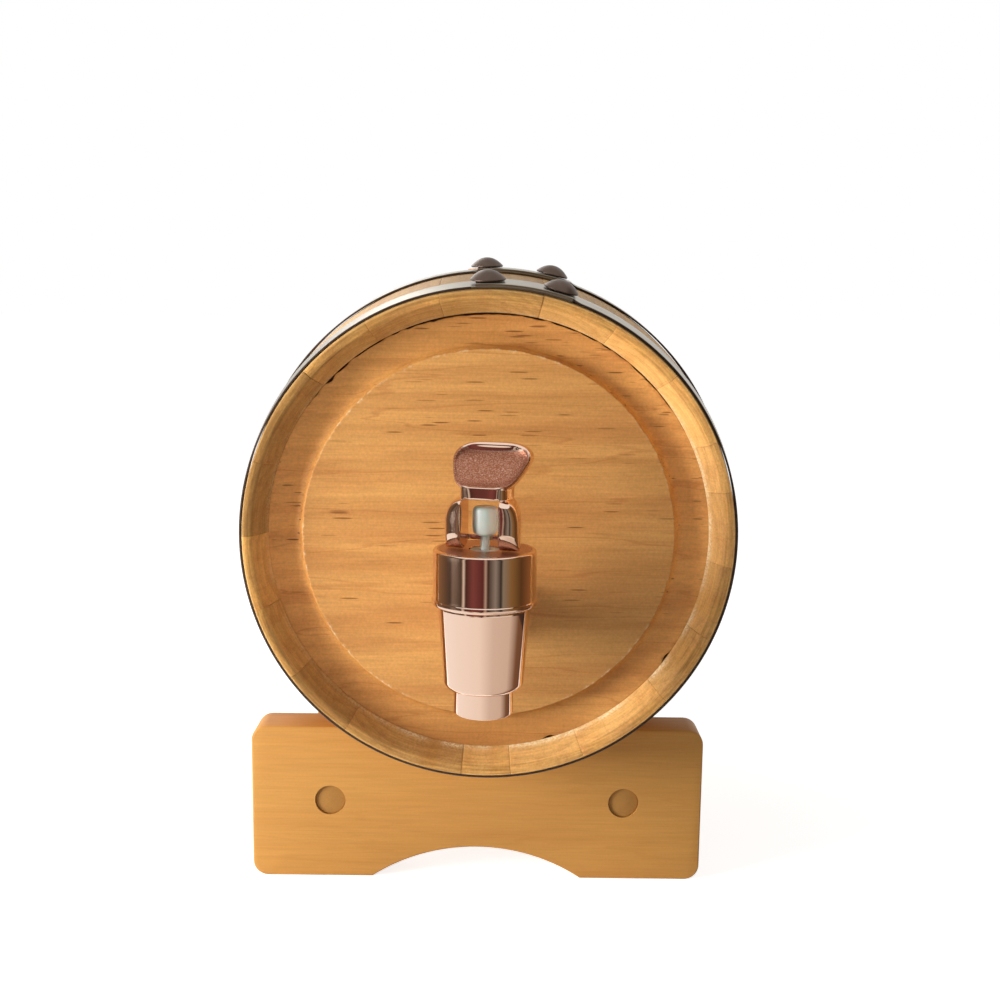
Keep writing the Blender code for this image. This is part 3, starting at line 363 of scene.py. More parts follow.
def wood_material(name, pale, late, fleck_tint, ring_gap, pith, **look):
    """Sanded softwood. A board's own coordinates come from the mesh: across, along the grain, depth.

    Growth rings are tubes around the pith, so end grain, flat grain and slopes all follow.
    """
    made, tree, shader = new_material(name)
    grain = add(tree, ATTRIBUTE, out="Vector", attribute_name="grain")
    marks = ("tone_and_painted_light", "torn", "cut", "resin", "gap_shade")
    tone_and_painted_light, torn, cut, resin, gap_shade = [add(tree, ATTRIBUTE, out="Fac", attribute_name=mark) for mark in marks]

    # The rings wander by a few millimetres along the board.
    slow = add(tree, VECTOR, (grain, (1.0, 0.16, 1.0)), operation="MULTIPLY")
    wander = add(tree, NOISE, {"Vector": slow, "Scale": 26.0, "Detail": 3.0}, "Color")
    centred = add(tree, VECTOR, (wander, (0.5, 0.5, 0.5)), operation="SUBTRACT")
    shift = add(tree, VECTOR, (centred, (look["wander"],) * 3, grain), operation="MULTIPLY_ADD")
    from_pith = add(tree, VECTOR, (shift, (-pith[0], 0.0, -pith[1])), operation="ADD")
    flat = add(tree, VECTOR, (from_pith, (1.0, 0.0, 1.0)), operation="MULTIPLY")
    distance = add(tree, VECTOR, (flat,), "Value", operation="LENGTH")
    count = add(tree, MATH, (distance, ring_gap), operation="DIVIDE")
    phase = add(tree, MATH, (count,), operation="FRACT")
    rise = add(tree, RANGE, (phase, 0.25, 0.9), **SMOOTH)
    fall = add(tree, RANGE, (phase, 0.95, 1.0, 1.0, 0.0), **SMOOTH)
    ring = add(tree, MATH, (rise, fall), operation="MULTIPLY")

    layers = {}
    for layer, place, stretch, detail in (
        # Fibres are finer than 0.1 mm. They are drawn 0.7 mm wide, or they wouldn't show.
        ("fibre", grain, (1400.0, 55.0, 1400.0), 3.0),
        # Sanding leaves a fuzz of light specks about 1 mm wide.
        ("fuzz", grain, (1100.0, 1100.0, 1100.0), 2.0),
        # Broad bands along the grain, 15 to 25 mm wide
        ("band", grain, (55.0, 6.0, 55.0), 2.0),
        # Wisps of darker wood, about 6 mm wide and many times as long
        ("wisp", shift, (190.0, 13.0, 190.0), 4.0),
        # Thin dark lines between the growth rings, where this passes its middle
        ("vein", shift, (75.0, 5.0, 75.0), 3.0),
        # A turned chime or border carries the tool's streaks, along the circle.
        ("streak", grain, (45.0, 1100.0, 1100.0), 2.0),
    ):
        stretched = add(tree, VECTOR, (place, stretch), operation="MULTIPLY")
        layers[layer] = add(tree, NOISE, {"Vector": stretched, "Scale": 1.0, "Detail": detail})

    # Resin canals: dashes 4 to 8 mm long and 0.4 mm wide, in patches
    fleck_place = add(tree, VECTOR, (grain, (720.0, 58.0, 720.0)), operation="MULTIPLY")
    cells = add(tree, "ShaderNodeTexVoronoi", {"Vector": fleck_place, "Scale": 1.0}).node.outputs
    spare = add(tree, MATH, (1.0 - look["flecks"], resin), operation="SUBTRACT")
    over = add(tree, MATH, (cells["Color"], spare), operation="SUBTRACT")
    dash = add(tree, RANGE, (cells["Distance"], 0.14, 0.26, 1.0, 0.0), **SMOOTH)
    kept = add(tree, RANGE, (over, 0.0, 0.35))
    patch = add(tree, RANGE, (layers["band"], 0.42, 0.55), **SMOOTH)
    dash_kept = add(tree, MATH, (dash, kept), operation="MULTIPLY")
    fleck = add(tree, MATH, (dash_kept, patch), operation="MULTIPLY")

    # Late wood over early wood, lit by the fibres, the fuzz, the streaks and each board's tone and painted
    # light
    fuzz_light = add(tree, RANGE, (layers["fuzz"], 0.3, 0.7, 1.0 - look["fuzz"], 1.0 + look["fuzz"]))
    streak = add(tree, MATH, (layers["streak"], 0.5), operation="SUBTRACT")
    streak_share = add(tree, MATH, (streak, look["streaks"]), operation="MULTIPLY")
    streak_light = add(tree, MATH, (streak_share, cut, 1.0), operation="MULTIPLY_ADD")
    tone_light = add(tree, MATH, (tone_and_painted_light, look["tones"], 1.0), operation="MULTIPLY_ADD")
    light = add(tree, RANGE, (layers["fibre"], 0.3, 0.7, 1.0 - look["fibres"], 1.0 + look["fibres"]))
    for factor in (fuzz_light, streak_light, tone_light):
        light = add(tree, MATH, (light, factor), operation="MULTIPLY")
    ring_share = add(tree, MATH, (ring, look["rings"]), operation="MULTIPLY")
    rings = add(tree, MIX, {0: ring_share, MIX_A: pale, MIX_B: late}, **COLOUR)
    colour = add(tree, VECTOR, {0: rings, "Scale": light}, operation="SCALE")

    # Bands, wisps and veins are redder as well as darker.
    vein_level = add(tree, MATH, (layers["vein"], 0.5), operation="SUBTRACT")
    vein = add(tree, MATH, (vein_level,), operation="ABSOLUTE")
    shade = add(tree, RANGE, (layers["band"], 0.3, 0.7, 1.0, 1.0 - 2 * look["bands"]))
    for factor in (
        add(tree, RANGE, (layers["wisp"], 0.42, 0.68, 1.0, 1.0 - look["wisps"]), **SMOOTH),
        add(tree, RANGE, (vein, 0.002, 0.012, 1.0 - look["veins"], 1.0), **SMOOTH),
    ):
        shade = add(tree, MATH, (shade, factor), operation="MULTIPLY")
    depth = add(tree, RANGE, (shade, 0.0, 1.0, 1.3, 0.0))
    tear = add(tree, RANGE, (layers["fuzz"], 0.4, 0.6, 0.35), **SMOOTH)
    tear_share = add(tree, MATH, (tear, torn), operation="MULTIPLY")
    for share, tint, blend in (
        (depth, linear("#B4683C"), "MULTIPLY"),
        # End grain drinks in the light.
        (cut, linear("#EADCC0"), "MULTIPLY"),
        (fleck, fleck_tint, "MIX"),
        # Torn fibres along a cut edge are painted pale cream: partly their own colour, partly a painted
        # highlight where light catches them.
        (tear_share, linear("#F3DDB0"), "MIX"),
        # Painted shade: the dry joint around a head is painted near black inside.
        (gap_shade, linear("#3A1C0C"), "MIX"),
    ):
        colour = add(tree, MIX, {0: share, MIX_A: colour, MIX_B: tint}, blend_type=blend, **COLOUR)

    hills = add(tree, MATH, (layers["fuzz"], 0.6, layers["fibre"]), operation="MULTIPLY_ADD")
    pits = add(tree, MATH, (hills, fleck), operation="SUBTRACT")
    relief = add(tree, BUMP, {"Height": pits, "Strength": look["bump"], "Distance": 0.2 * MM})
    connect(shader, {"Base Color": colour, "Roughness": look["roughness"], "Normal": relief})
    connect(
        shader,
        {"Coat Weight": look["coat"], "Coat Roughness": 0.35, "Specular IOR Level": look["shine"]},
    )
    return made


def mottled_material(name, colour, shade, scale, roughness, spread, bump, **sockets):
    """A finish whose colour and roughness wander a little. scale is a count per metre."""
    made, tree, shader = new_material(name)
    place = add(tree, COORDINATES, out="Object")
    patches = add(tree, NOISE, {"Vector": place, "Scale": scale, "Detail": 4.0})
    mixed = add(tree, MIX, {0: patches, MIX_A: colour, MIX_B: shade}, **COLOUR)
    dull = add(tree, RANGE, (patches, 0.0, 1.0, roughness - spread, roughness + spread))
    relief = add(tree, BUMP, {"Height": patches, "Strength": bump, "Distance": 0.1 * MM})
    connect(shader, {"Base Color": mixed, "Roughness": dull, "Normal": relief})
    connect(shader, {socket.replace("_", " ").title(): value for socket, value in sockets.items()})
    return made


def steel_material(colour):
    """Cold-rolled strap: a grey sheen with fine rolling lines along it and faint brown tarnish."""
    made, tree, shader = new_material("cold-rolled steel strap")
    grain = add(tree, ATTRIBUTE, out="Vector", attribute_name="grain")
    # Rolling lines are finer than 0.05 mm. They are drawn 0.4 mm wide.
    line_place = add(tree, VECTOR, (grain, (2500.0, 18.0, 2500.0)), operation="MULTIPLY")
    lines = add(tree, NOISE, {"Vector": line_place, "Scale": 1.0, "Detail": 2.0})
    tarnish = add(tree, NOISE, {"Vector": grain, "Scale": 60.0, "Detail": 5.0})
    spots = add(tree, RANGE, (tarnish, 0.45, 0.75, 0.0, 0.7))
    brown = add(tree, MIX, {0: spots, MIX_A: colour, MIX_B: linear("#8C7C6E")}, **COLOUR)
    dull = add(tree, RANGE, (lines, 0.3, 0.7, 0.26, 0.4))
    relief = add(tree, BUMP, {"Height": lines, "Strength": 0.12, "Distance": 0.05 * MM})
    connect(shader, {"Base Color": brown, "Metallic": 1.0, "Roughness": dull, "Normal": relief})
    return made


def rose_gold_material(colour):
    """Metallised moulded plastic: a rose-gold mirror, and sand-textured in the paddle's scoop."""
    made, tree, shader = new_material("rose gold metallised plastic")
    place = add(tree, COORDINATES, out="Object")
    sand = add(tree, ATTRIBUTE, out="Fac", attribute_name="sand")
    # The moulding is a little wavy, so reflections wander. Grains of sand are about 0.5 mm.
    waves = add(tree, NOISE, {"Vector": place, "Scale": 140.0, "Detail": 1.0})
    grit = add(tree, NOISE, {"Vector": place, "Scale": 2100.0, "Detail": 2.0})
    speck = add(tree, RANGE, (grit, 0.38, 0.64), **SMOOTH)
    # Painted glints: single grains in patches are painted near white, as grains that flash in the light.
    patches = add(tree, NOISE, {"Vector": place, "Scale": 220.0, "Detail": 1.0})
    patch = add(tree, RANGE, (patches, 0.5, 0.66))
    painted_glint = add(tree, RANGE, (grit, 0.64, 0.72, 0.0, 0.7))
    painted_glints = add(tree, MATH, (painted_glint, patch), operation="MULTIPLY")
    sandy = linear("#9E6249")
    for share, tint in ((speck, "#C08D74"), (painted_glints, "#FFE9DA")):
        sandy = add(tree, MIX, {0: share, MIX_A: sandy, MIX_B: linear(tint)}, **COLOUR)
    lit = add(tree, MIX, {0: sand, MIX_A: colour, MIX_B: sandy}, **COLOUR)
    dull = add(tree, RANGE, (sand, 0.0, 1.0, 0.05, 0.42))
    smooth = add(tree, BUMP, {"Height": waves, "Strength": 0.45, "Distance": 0.05 * MM})
    grains = add(tree, MATH, (grit, sand), operation="MULTIPLY")
    relief = add(
        tree, BUMP, {"Height": grains, "Strength": 0.7, "Distance": 0.15 * MM, "Normal": smooth}
    )
    connect(shader, {"Base Color": lit, "Metallic": 1.0, "Roughness": dull, "Normal": relief})
    return made


def darker(colour, share):
    return (*(channel * share for channel in colour[:3]), 1.0)


def make_materials(colours):
    """Every finish of the barrel, by the name of its material slot."""
    return {
        # Pine staves, sawn and sanded: pale cream with tan late wood, a matt surface.
        "stave_wood": wood_material(
            "sanded pine staves", colours.stave_wood, linear("#B9854A"), linear("#8A5A2C"),
            2.6 * MM, (4 * MM, -60 * MM),
            wander=3 * MM, rings=0.28, fibres=0.07, fuzz=0.06, bands=0.07, wisps=0.12, veins=0.08,
            streaks=1.3, tones=0.24, flecks=0.2, roughness=0.55, shine=0.25, coat=0.0, bump=0.35,
        ),
        # Pine heads, flat-sawn: warm orange bands and short brown resin flecks.
        "head_wood": wood_material(
            "sanded pine heads", colours.head_wood, linear("#B4763A"), linear("#8A5528"),
            9 * MM, (-40 * MM, -55 * MM),
            wander=9 * MM, rings=0.24, fibres=0.08, fuzz=0.07, bands=0.07, wisps=0.14, veins=0.16,
            streaks=0.3, tones=0.1, flecks=0.45, roughness=0.5, shine=0.25, coat=0.0, bump=0.3,
        ),
        # Stand of pine under a clear satin varnish: honey-orange and smooth.
        "stand_wood": wood_material(
            "varnished pine", colours.stand_wood, linear("#C98F40"), linear("#A06A2C"),
            5 * MM, (-120 * MM, -30 * MM),
            wander=6 * MM, rings=0.1, fibres=0.05, fuzz=0.02, bands=0.04, wisps=0.05, veins=0.04,
            streaks=0.0, tones=0.1, flecks=0.1, roughness=0.5, shine=0.15, coat=0.03, bump=0.12,
        ),
        "hoop_steel": steel_material(colours.hoop_steel),
        # Painted shade: the strap's sheared edges are painted dark brown, for the dark line along the hoops.
        "hoop_edge": mottled_material(
            "sheared steel edge", linear("#5A483C"), linear("#261C17"), 900.0, 0.55, 0.1, 0.3, metallic=0.5
        ),
        # Steel rivets with a bronzed finish: dark brown domes with a soft shine.
        "rivet_steel": mottled_material(
            "bronzed steel", colours.rivet_bronze, darker(colours.rivet_bronze, 0.62),
            420.0, 0.42, 0.08, 0.35, metallic=0.75,
        ),
        "rose_gold": rose_gold_material(colours.rose_gold),
        # Moulded polypropylene: milky, with light scattered inside it.
        "milky_plastic": mottled_material(
            "milky polypropylene", colours.milky_plastic, darker(colours.milky_plastic, 0.9),
            260.0, 0.32, 0.05, 0.05, subsurface_weight=0.35, subsurface_scale=2 * MM,
        ),
        "silicone": mottled_material(
            "moulded silicone", colours.silicone, darker(colours.silicone, 0.86),
            300.0, 0.5, 0.06, 0.1, subsurface_weight=0.2, subsurface_scale=1 * MM,
        ),
        # Moulded nylon, near black.
        "nut_plastic": mottled_material(
            "moulded nylon", colours.nut_plastic, darker(colours.nut_plastic, 0.7), 500.0, 0.5, 0.08, 0.2
        ),
    }


FINISHES = {}


def finishes():
    """The materials, made on the first call."""
    if "sanded pine staves" not in bpy.data.materials:
        FINISHES.update(make_materials(bpy.context.scene.barrel_colours))
    return FINISHES


def grid_mesh(name, grid, close_rows=False, close_columns=False, caps=False):
    """A mesh over a grid of points. caps closes its first and last row with a face."""
    rows, columns = grid.shape[:2]
    row = np.arange(rows if close_rows else rows - 1)
    column = np.arange(columns if close_columns else columns - 1)
    r, c = np.meshgrid(row, column, indexing="ij")
    r2, c2 = (r + 1) % rows, (c + 1) % columns
    corners = (r * columns + c, r * columns + c2, r2 * columns + c2, r2 * columns + c)
    faces = np.stack([corner.ravel() for corner in corners], axis=1).tolist()
    if caps:
        faces.append(list(range(columns)))
        faces.append(list(range((rows - 1) * columns, rows * columns)))
    mesh = bpy.data.meshes.new(name)
    mesh.from_pydata(grid.reshape(-1, 3).tolist(), [], faces)
    return mesh


def close_seams(mesh):
    """Merges doubled points at seams and poles, and turns every face outwards."""
    bm = bmesh.new()
    bm.from_mesh(mesh)
    bmesh.ops.remove_doubles(bm, verts=bm.verts, dist=WELD_DISTANCE)
    bmesh.ops.recalc_face_normals(bm, faces=bm.faces)
    bm.to_mesh(mesh)
    bm.free()
    return mesh


def in_scene(name, data):
    """A new object, linked to the scene."""
    made = bpy.data.objects.new(name, data)
    bpy.context.scene.collection.objects.link(made)
    return made


def finished(name, mesh, material, sharp=40.0):
    """An object at the origin, shaded smooth up to an angle in degrees."""
    made = in_scene(name, mesh)
    mesh.materials.clear()
    mesh.materials.append(material)
    mesh.shade_smooth()
    mesh.set_sharp_from_angle(angle=sharp * DEGREE)
    return made


def hand_over(name, mesh, body, slot, *nodes, sharp=40.0):
    """Finishes a piece with the material of its slot, gives it its body, and hides the nodes that it stands
    for.
    """
    piece = finished(name, mesh, finishes()[slot], sharp)
    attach(piece, body)
    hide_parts(*(nodes or (name,)))


def evaluated_mesh(source, *helpers):
    """A plain mesh of what the modifiers make. The source and its helpers are removed."""
    bpy.context.view_layer.update()
    graph = bpy.context.evaluated_depsgraph_get()
    mesh = bpy.data.meshes.new_from_object(source.evaluated_get(graph))
    for used in (source, *helpers):
        bpy.data.objects.remove(used)
    return mesh


def cut_away(target, mesh, place=None):
    """Adds a Boolean that takes a shape away, and gives back the shape's object."""
    cutter = in_scene("cutter", mesh)
    cutter.matrix_world = place or Matrix.Identity(4)
    modifier = target.modifiers.new("cut", "BOOLEAN")
    modifier.object = cutter
    modifier.solver = "EXACT"
    return cutter


def points_of(mesh):
    points = np.empty(len(mesh.vertices) * 3)
    mesh.vertices.foreach_get("co", points)
    return points.reshape(-1, 3)


def store(mesh, name, values):
    """Stores a number or a vector for each point of a mesh."""
    values = np.asarray(values, dtype=np.float32)
    kind, key = ("FLOAT_VECTOR", "vector") if values.ndim == 2 else ("FLOAT", "value")
    attribute = mesh.attributes.new(name, kind, "POINT")
    attribute.data.foreach_set(key, values.ravel())


def ramp(value, start, end):
    """0 at the start, 1 at the end, and straight between. The start may be above the end."""
    return np.clip((value - start) / (end - start), 0.0, 1.0)


def ridge(angles, seed, scale):
    """Smooth noise around a circle, from about -1 to 1, for each angle of an array."""
    return np.array(
        [noise.noise(Vector((math.cos(a) * scale, math.sin(a) * scale, seed))) * 2 for a in angles]
    )


def eased(points, reach, steps=3, closed=False):
    """A polyline with its corners rounded. A point may carry a reach of its own."""
    result = []
    count = len(points)
    for i, here in enumerate(points):
        corner = Vector(here[:2])
        back = Vector(points[i - 1][:2]) - corner
        ahead = Vector(points[(i + 1) % count][:2]) - corner
        cut = min(here[2] if len(here) > 2 else reach, back.length * 0.45, ahead.length * 0.45)
        if cut < WELD_DISTANCE or (not closed and i in (0, count - 1)):
            result.append(tuple(corner))
            continue
        start = corner + back.normalized() * cut
        end = corner + ahead.normalized() * cut
        for k in range(steps + 1):
            t = k / steps
            result.append(tuple(start * (1 - t) ** 2 + corner * 2 * t * (1 - t) + end * t * t))
    return result


def subdivided(points, most):
    """A polyline with more points, so that no two are further apart than most."""
    result = [points[0]]
    for before, after in zip(points, points[1:]):
        steps = max(1, math.ceil((Vector(after) - Vector(before)).length / most))
        result += [tuple(Vector(before).lerp(Vector(after), k / steps)) for k in range(1, steps + 1)]
    return result


def turned_mesh(name, profile, sides, closed=False, place=None):
    """A turned shape around Z, from (radius, height) points, moved to its place."""
    profile = np.array(profile)
    angles = np.arange(sides) * 2 * math.pi / sides
    grid = np.empty((len(profile), sides, 3))
    grid[:, :, 0] = profile[:, :1] * np.cos(angles)
    grid[:, :, 1] = profile[:, :1] * np.sin(angles)
    grid[:, :, 2] = profile[:, 1:2]
    mesh = close_seams(grid_mesh(name, grid, close_rows=closed, close_columns=True))
    if place:
        mesh.transform(place)
    return mesh


def rod_profile(radius, reach):
    """A rod that reaches as far above its middle as below."""
    return [(0.0, reach), (radius, reach), (radius, -reach), (0.0, -reach)]


def arc(middle, radius, start, end, steps):
    """Points on an arc, from one angle to another in degrees."""
    turns = [math.radians(start + (end - start) * i / steps) for i in range(steps + 1)]
    return [(middle[0] + radius * math.cos(turn), middle[1] + radius * math.sin(turn)) for turn in turns]


def barrel_radius(along, sizes):
    """Outside radius of the staves at this distance from the barrel's middle."""
    swell = sizes.bilge_radius - sizes.chime_radius
    return sizes.bilge_radius - swell * (along / HALF_LENGTH) ** 2


def on_barrel(radius, angle, along):
    """A point, or an array of points, given around the barrel's axis."""
    height = AXIS_HEIGHT + radius * np.sin(angle)
    return np.stack([radius * np.cos(angle), BARREL_Y - along, height], axis=-1)


def croze_mouth_radius(sizes):
    return sizes.chime_radius - CHIME_SLOPE_WIDTH


def new_tree(name, sockets):
    """A Geometry Nodes tree that sets a Blank on points, and its group's inputs by name."""
    tree = bpy.data.node_groups.new(name, "GeometryNodeTree")
    sockets = {"Geometry": "Geometry", "Blank": "Object", **sockets, "Material": "Material"}
    for label, kind in sockets.items():
        tree.interface.new_socket(name=label, in_out="INPUT", socket_type="NodeSocket" + kind)
    tree.interface.new_socket(name="Geometry", in_out="OUTPUT", socket_type="NodeSocketGeometry")
    given = add(tree, "NodeGroupInput").node.outputs
    return tree, {label: given[label] for label in sockets}


def set_on_points(tree, points, blank, values):
    """The mesh that a tree makes of points and the Blank that it sets on them."""
    blank = in_scene("blank", blank)
    row = in_scene("row", points)
    modifier = row.modifiers.new("set on points", "NODES")
    modifier.node_group = tree
    values = {"Blank": blank, **values}
    for item in tree.interface.items_tree:
        if item.item_type == "SOCKET" and item.in_out == "INPUT" and item.name in values:
            modifier[item.identifier] = values[item.name]
    return close_seams(evaluated_mesh(row, blank))


def stave_section(sizes):
    """A stave's section as closed (along, radius) points, with its corners sanded off."""
    croze_front = HALF_LENGTH - CROZE_DEPTH_IN
    croze_back = croze_front - CROZE_WIDTH
    mouth = croze_mouth_radius(sizes)
    depth = sizes.stave_thickness
    shoulder = HALF_LENGTH - 6 * MM
    outside = [(along, barrel_radius(along, sizes), 0.0) for along in np.linspace(shoulder, -shoulder, 40)]
    slope = CROZE_DEPTH_IN - CHIME_LEAN
    front = [
        (croze_back, barrel_radius(croze_back, sizes) - depth, 0.2 * MM),
        (croze_back, mouth + CROZE_CUT, 0.2 * MM),
        (croze_front, mouth + CROZE_CUT, 0.2 * MM),
        (croze_front, mouth, 0.25 * MM),
        *[
            (croze_front + slope * share, mouth + (CHIME_SLOPE_WIDTH - CHIME_FLAT) * share, 0.0)
            for share in (0.05, 0.1, 0.17, 0.25, 0.4, 0.6, 0.8)
        ],
        (HALF_LENGTH - CHIME_LEAN, sizes.chime_radius - CHIME_FLAT, 0.7 * MM),
        (HALF_LENGTH - CHIME_LEAN / 3, sizes.chime_radius - CHIME_FLAT / 2, 0.0),
        (HALF_LENGTH, barrel_radius(HALF_LENGTH, sizes), CHIME_EDGE),
    ]
    rear = [(-along, radius, reach) for along, radius, reach in reversed(front)]
    inner = croze_back - 12 * MM
    hollow = [(along, barrel_radius(along, sizes) - depth, 0.0) for along in np.linspace(-inner, inner, 9)]
    return eased([*outside, *rear, *hollow, *front], 0.0, 2, closed=True)


def stave_blank(sizes):
    """One flat stave. X is its share of the width, Y is along the barrel, Z is the depth.

    The attribute offset is a distance from its joint, which keeps rounded edges one size. The
    attribute cut marks the turned chime, and torn its fuzzy fibres.
    """
    section = [Vector(point) for point in stave_section(sizes)]
    count = len(section)
    inward = []
    for i in range(count):
        way = (section[(i + 1) % count] - section[i - 1]).normalized()
        inward.append(Vector((-way.y, way.x)))
    centre = Vector((0.0, barrel_radius(0.0, sizes) - sizes.stave_thickness / 2))
    if (centre - section[0]).dot(inward[0]) < 0:
        inward = [-way for way in inward]
    edge = ((0.0, 0.0, 0.09), (0.0, 0.1, 0.02), (0.0, 0.25, 0.0))
    middle = [(share, 0.0, 0.0) for share in np.linspace(0.06, 0.94, 16)]
    far_edge = [(1.0, -offset, drop) for _, offset, drop in reversed(edge)]
    rows, offsets = [], []
    for share, offset, drop in (*edge, *middle, *far_edge):
        places = [point + way * drop * MM for point, way in zip(section, inward)]
        rows.append([(share, along, radius - barrel_radius(along, sizes)) for along, radius in places])
        offsets += [offset * MM] * count
    mesh = grid_mesh("stave_blank", np.array(rows), close_columns=True, caps=True)
    store(mesh, "offset", offsets)
    croze_front = HALF_LENGTH - CROZE_DEPTH_IN
    along = np.array([abs(point.x) for point in section])
    radius = np.array([point.y for point in section])
    turned = (along > croze_front - 0.1 * MM) & (radius < sizes.chime_radius - CHIME_EDGE / 2)
    up_slope = np.clip((along - croze_front) / (CROZE_DEPTH_IN - CHIME_LEAN), 0, 1)
    torn = turned * np.clip(1.8 - up_slope / 0.16, 0.08, 1)
    end_grain = np.where(up_slope < 0.98, 0.45, 1.0)
    store(mesh, "cut", np.tile(turned * end_grain, len(rows)))
    store(mesh, "torn", np.tile(torn, len(rows)))
    return mesh


def stave_tree():
    """Sets one flat stave on each point of a row, then bends and bulges them into a barrel."""
    sizes = ("Bilge Radius", "Chime Radius", "Half Length", "Joint Gap", "Axis Height", "Middle")
    tree, values = new_tree("barrel staves", dict.fromkeys(sizes, "Float"))
    blank = add(tree, "GeometryNodeObjectInfo", {"Object": values["Blank"]}, "Geometry")
    placed = add(tree, "GeometryNodeInstanceOnPoints", {"Points": values["Geometry"], "Instance": blank})
    real = add(tree, "GeometryNodeRealizeInstances", (placed,))

    # Each point stands at the origin, so the blank's own coordinates are still the position.
    parts = add(tree, "ShaderNodeSeparateXYZ", (add(tree, "GeometryNodeInputPosition"),)).node.outputs
    values.update({name: parts[name] for name in "XYZ"})
    for name in ("offset", "start", "full width", "short"):
        values[name] = add(tree, "GeometryNodeInputNamedAttribute", (name,), data_type="FLOAT")
    for name, operation, *terms in (
        ("kept", "SUBTRACT", 1.0, "short"),
        ("along", "MULTIPLY", "Y", "kept"),
        ("share", "DIVIDE", "along", "Half Length"),
        ("square", "MULTIPLY", "share", "share"),
        ("swell", "SUBTRACT", "Bilge Radius", "Chime Radius"),
        ("drop", "MULTIPLY", "swell", "square"),
        ("surface", "SUBTRACT", "Bilge Radius", "drop"),
        ("radius", "ADD", "surface", "Z"),
        ("joint", "DIVIDE", "Joint Gap", "Bilge Radius"),
        ("half joint", "MULTIPLY", "joint", 0.5),
        ("width", "SUBTRACT", "full width", "joint"),
        ("edge", "ADD", "start", "half joint"),
        ("inset", "DIVIDE", "offset", "Bilge Radius"),
        ("turn", "MULTIPLY_ADD", "X", "width", "edge"),
        ("angle", "ADD", "turn", "inset"),
        ("cosine", "COSINE", "angle"),
        ("sine", "SINE", "angle"),
        ("bent x", "MULTIPLY", "radius", "cosine"),
        ("bent y", "SUBTRACT", "Middle", "along"),
        ("bent z", "MULTIPLY_ADD", "radius", "sine", "Axis Height"),
        ("from middle", "SUBTRACT", "X", 0.5),
        ("turn across", "MULTIPLY", "from middle", "width"),
        ("across", "MULTIPLY", "turn across", "surface"),
    ):
        inputs = [values.get(term, term) for term in terms]
        values[name] = add(tree, MATH, inputs, operation=operation, label=name)
    bent = add(tree, "ShaderNodeCombineXYZ", [values["bent " + way] for way in "xyz"])

    # Board coordinates for the wood, before the points move
    flat = add(tree, "ShaderNodeCombineXYZ", (values["across"], values["along"], values["Z"]))
    shift = add(tree, "GeometryNodeInputNamedAttribute", ("shift",), data_type="FLOAT_VECTOR")
    board = add(tree, VECTOR, (flat, shift), operation="ADD")
    grained = add(
        tree, "GeometryNodeStoreNamedAttribute", {"Geometry": real, "Name": "grain", "Value": board},
        data_type="FLOAT_VECTOR", domain="POINT",
    )
    moved = add(tree, "GeometryNodeSetPosition", {"Geometry": grained, "Position": bent})
    dressed = add(tree, "GeometryNodeSetMaterial", {"Geometry": moved, "Material": values["Material"]})
    add(tree, "NodeGroupOutput", (dressed,))
    return tree


def stave_row(sizes):
    """One point for each stave, with its first joint, width, tint and painted light, shortness and place in
    its log.
    """
    chance = np.random.default_rng(sizes.seed)
    flats = np.array(STAVE_FLATS)
    count = len(flats)
    starts = FIRST_JOINT_FLATS + np.cumsum(flats) - flats
    row = bpy.data.meshes.new("stave_row")
    row.from_pydata([(0.0, 0.0, 0.0)] * count, [], [])
    store(row, "start", starts * FLAT_ANGLE)
    store(row, "full width", flats * FLAT_ANGLE)
    # Painted light: the staves on the right and above are painted paler, and those on the left and below
    # darker, as light falls on them.
    middles = (starts + flats / 2) * FLAT_ANGLE
    painted_light = 0.4 + 0.5 * np.cos(middles) + 0.3 * np.sin(middles)
    store(row, "tone_and_painted_light", chance.uniform(-1, 1, count) + painted_light)
    store(row, "short", chance.uniform(0, 0.25 * MM, count) / HALF_LENGTH)
    store(row, "shift", chance.uniform(-1, 1, (count, 3)) * (12 * MM, 900 * MM, 6 * MM))
    return row


def bung_profile(radius, length):
    """The bung, or its hole, as (radius, height) points from its top."""
    half = length / 2
    foot = radius - BUNG_TAPER * 3 / 2
    return [(0.0, half), (radius - BUNG_TAPER / 2, half), (foot, -half), (0.0, -half)]


def bung_place(sizes):
    """Middle of the bung, in the middle of its stave on the top of the barrel."""
    before = FIRST_JOINT_FLATS + sum(STAVE_FLATS[:BUNG_STAVE_INDEX])
    angle = (before + STAVE_FLATS[BUNG_STAVE_INDEX] / 2) * FLAT_ANGLE
    axis = Matrix.Translation((0.0, BARREL_Y, AXIS_HEIGHT)) @ Matrix.Rotation(math.pi / 2 - angle, 4, "Y")
    return axis @ Matrix.Translation((0.0, 0.0, sizes.bilge_radius + BUNG_PROUD - BUNG_LENGTH / 2))


def scale_torn(mesh):
    """Torn fibres are painted strongest on the right and below, as a painted highlight where light falls on
    the chime's slope, in patches, and fainter all round.
    """
    points = points_of(mesh)
    angles = np.arctan2(points[:, 2] - AXIS_HEIGHT, points[:, 0])
    degrees = np.degrees(angles)
    lit_side = ramp(degrees, -130, -110) * ramp(degrees, 45, 20)
    patchy = np.clip(0.75 + 0.8 * ridge(angles, 40.0, 9.0), 0.1, 1.0)
    torn = np.empty(len(points), dtype=np.float32)
    values = mesh.attributes["torn"].data
    values.foreach_get("value", torn)
    values.foreach_set("value", (torn * patchy * (0.25 + 0.75 * lit_side)).astype(np.float32))


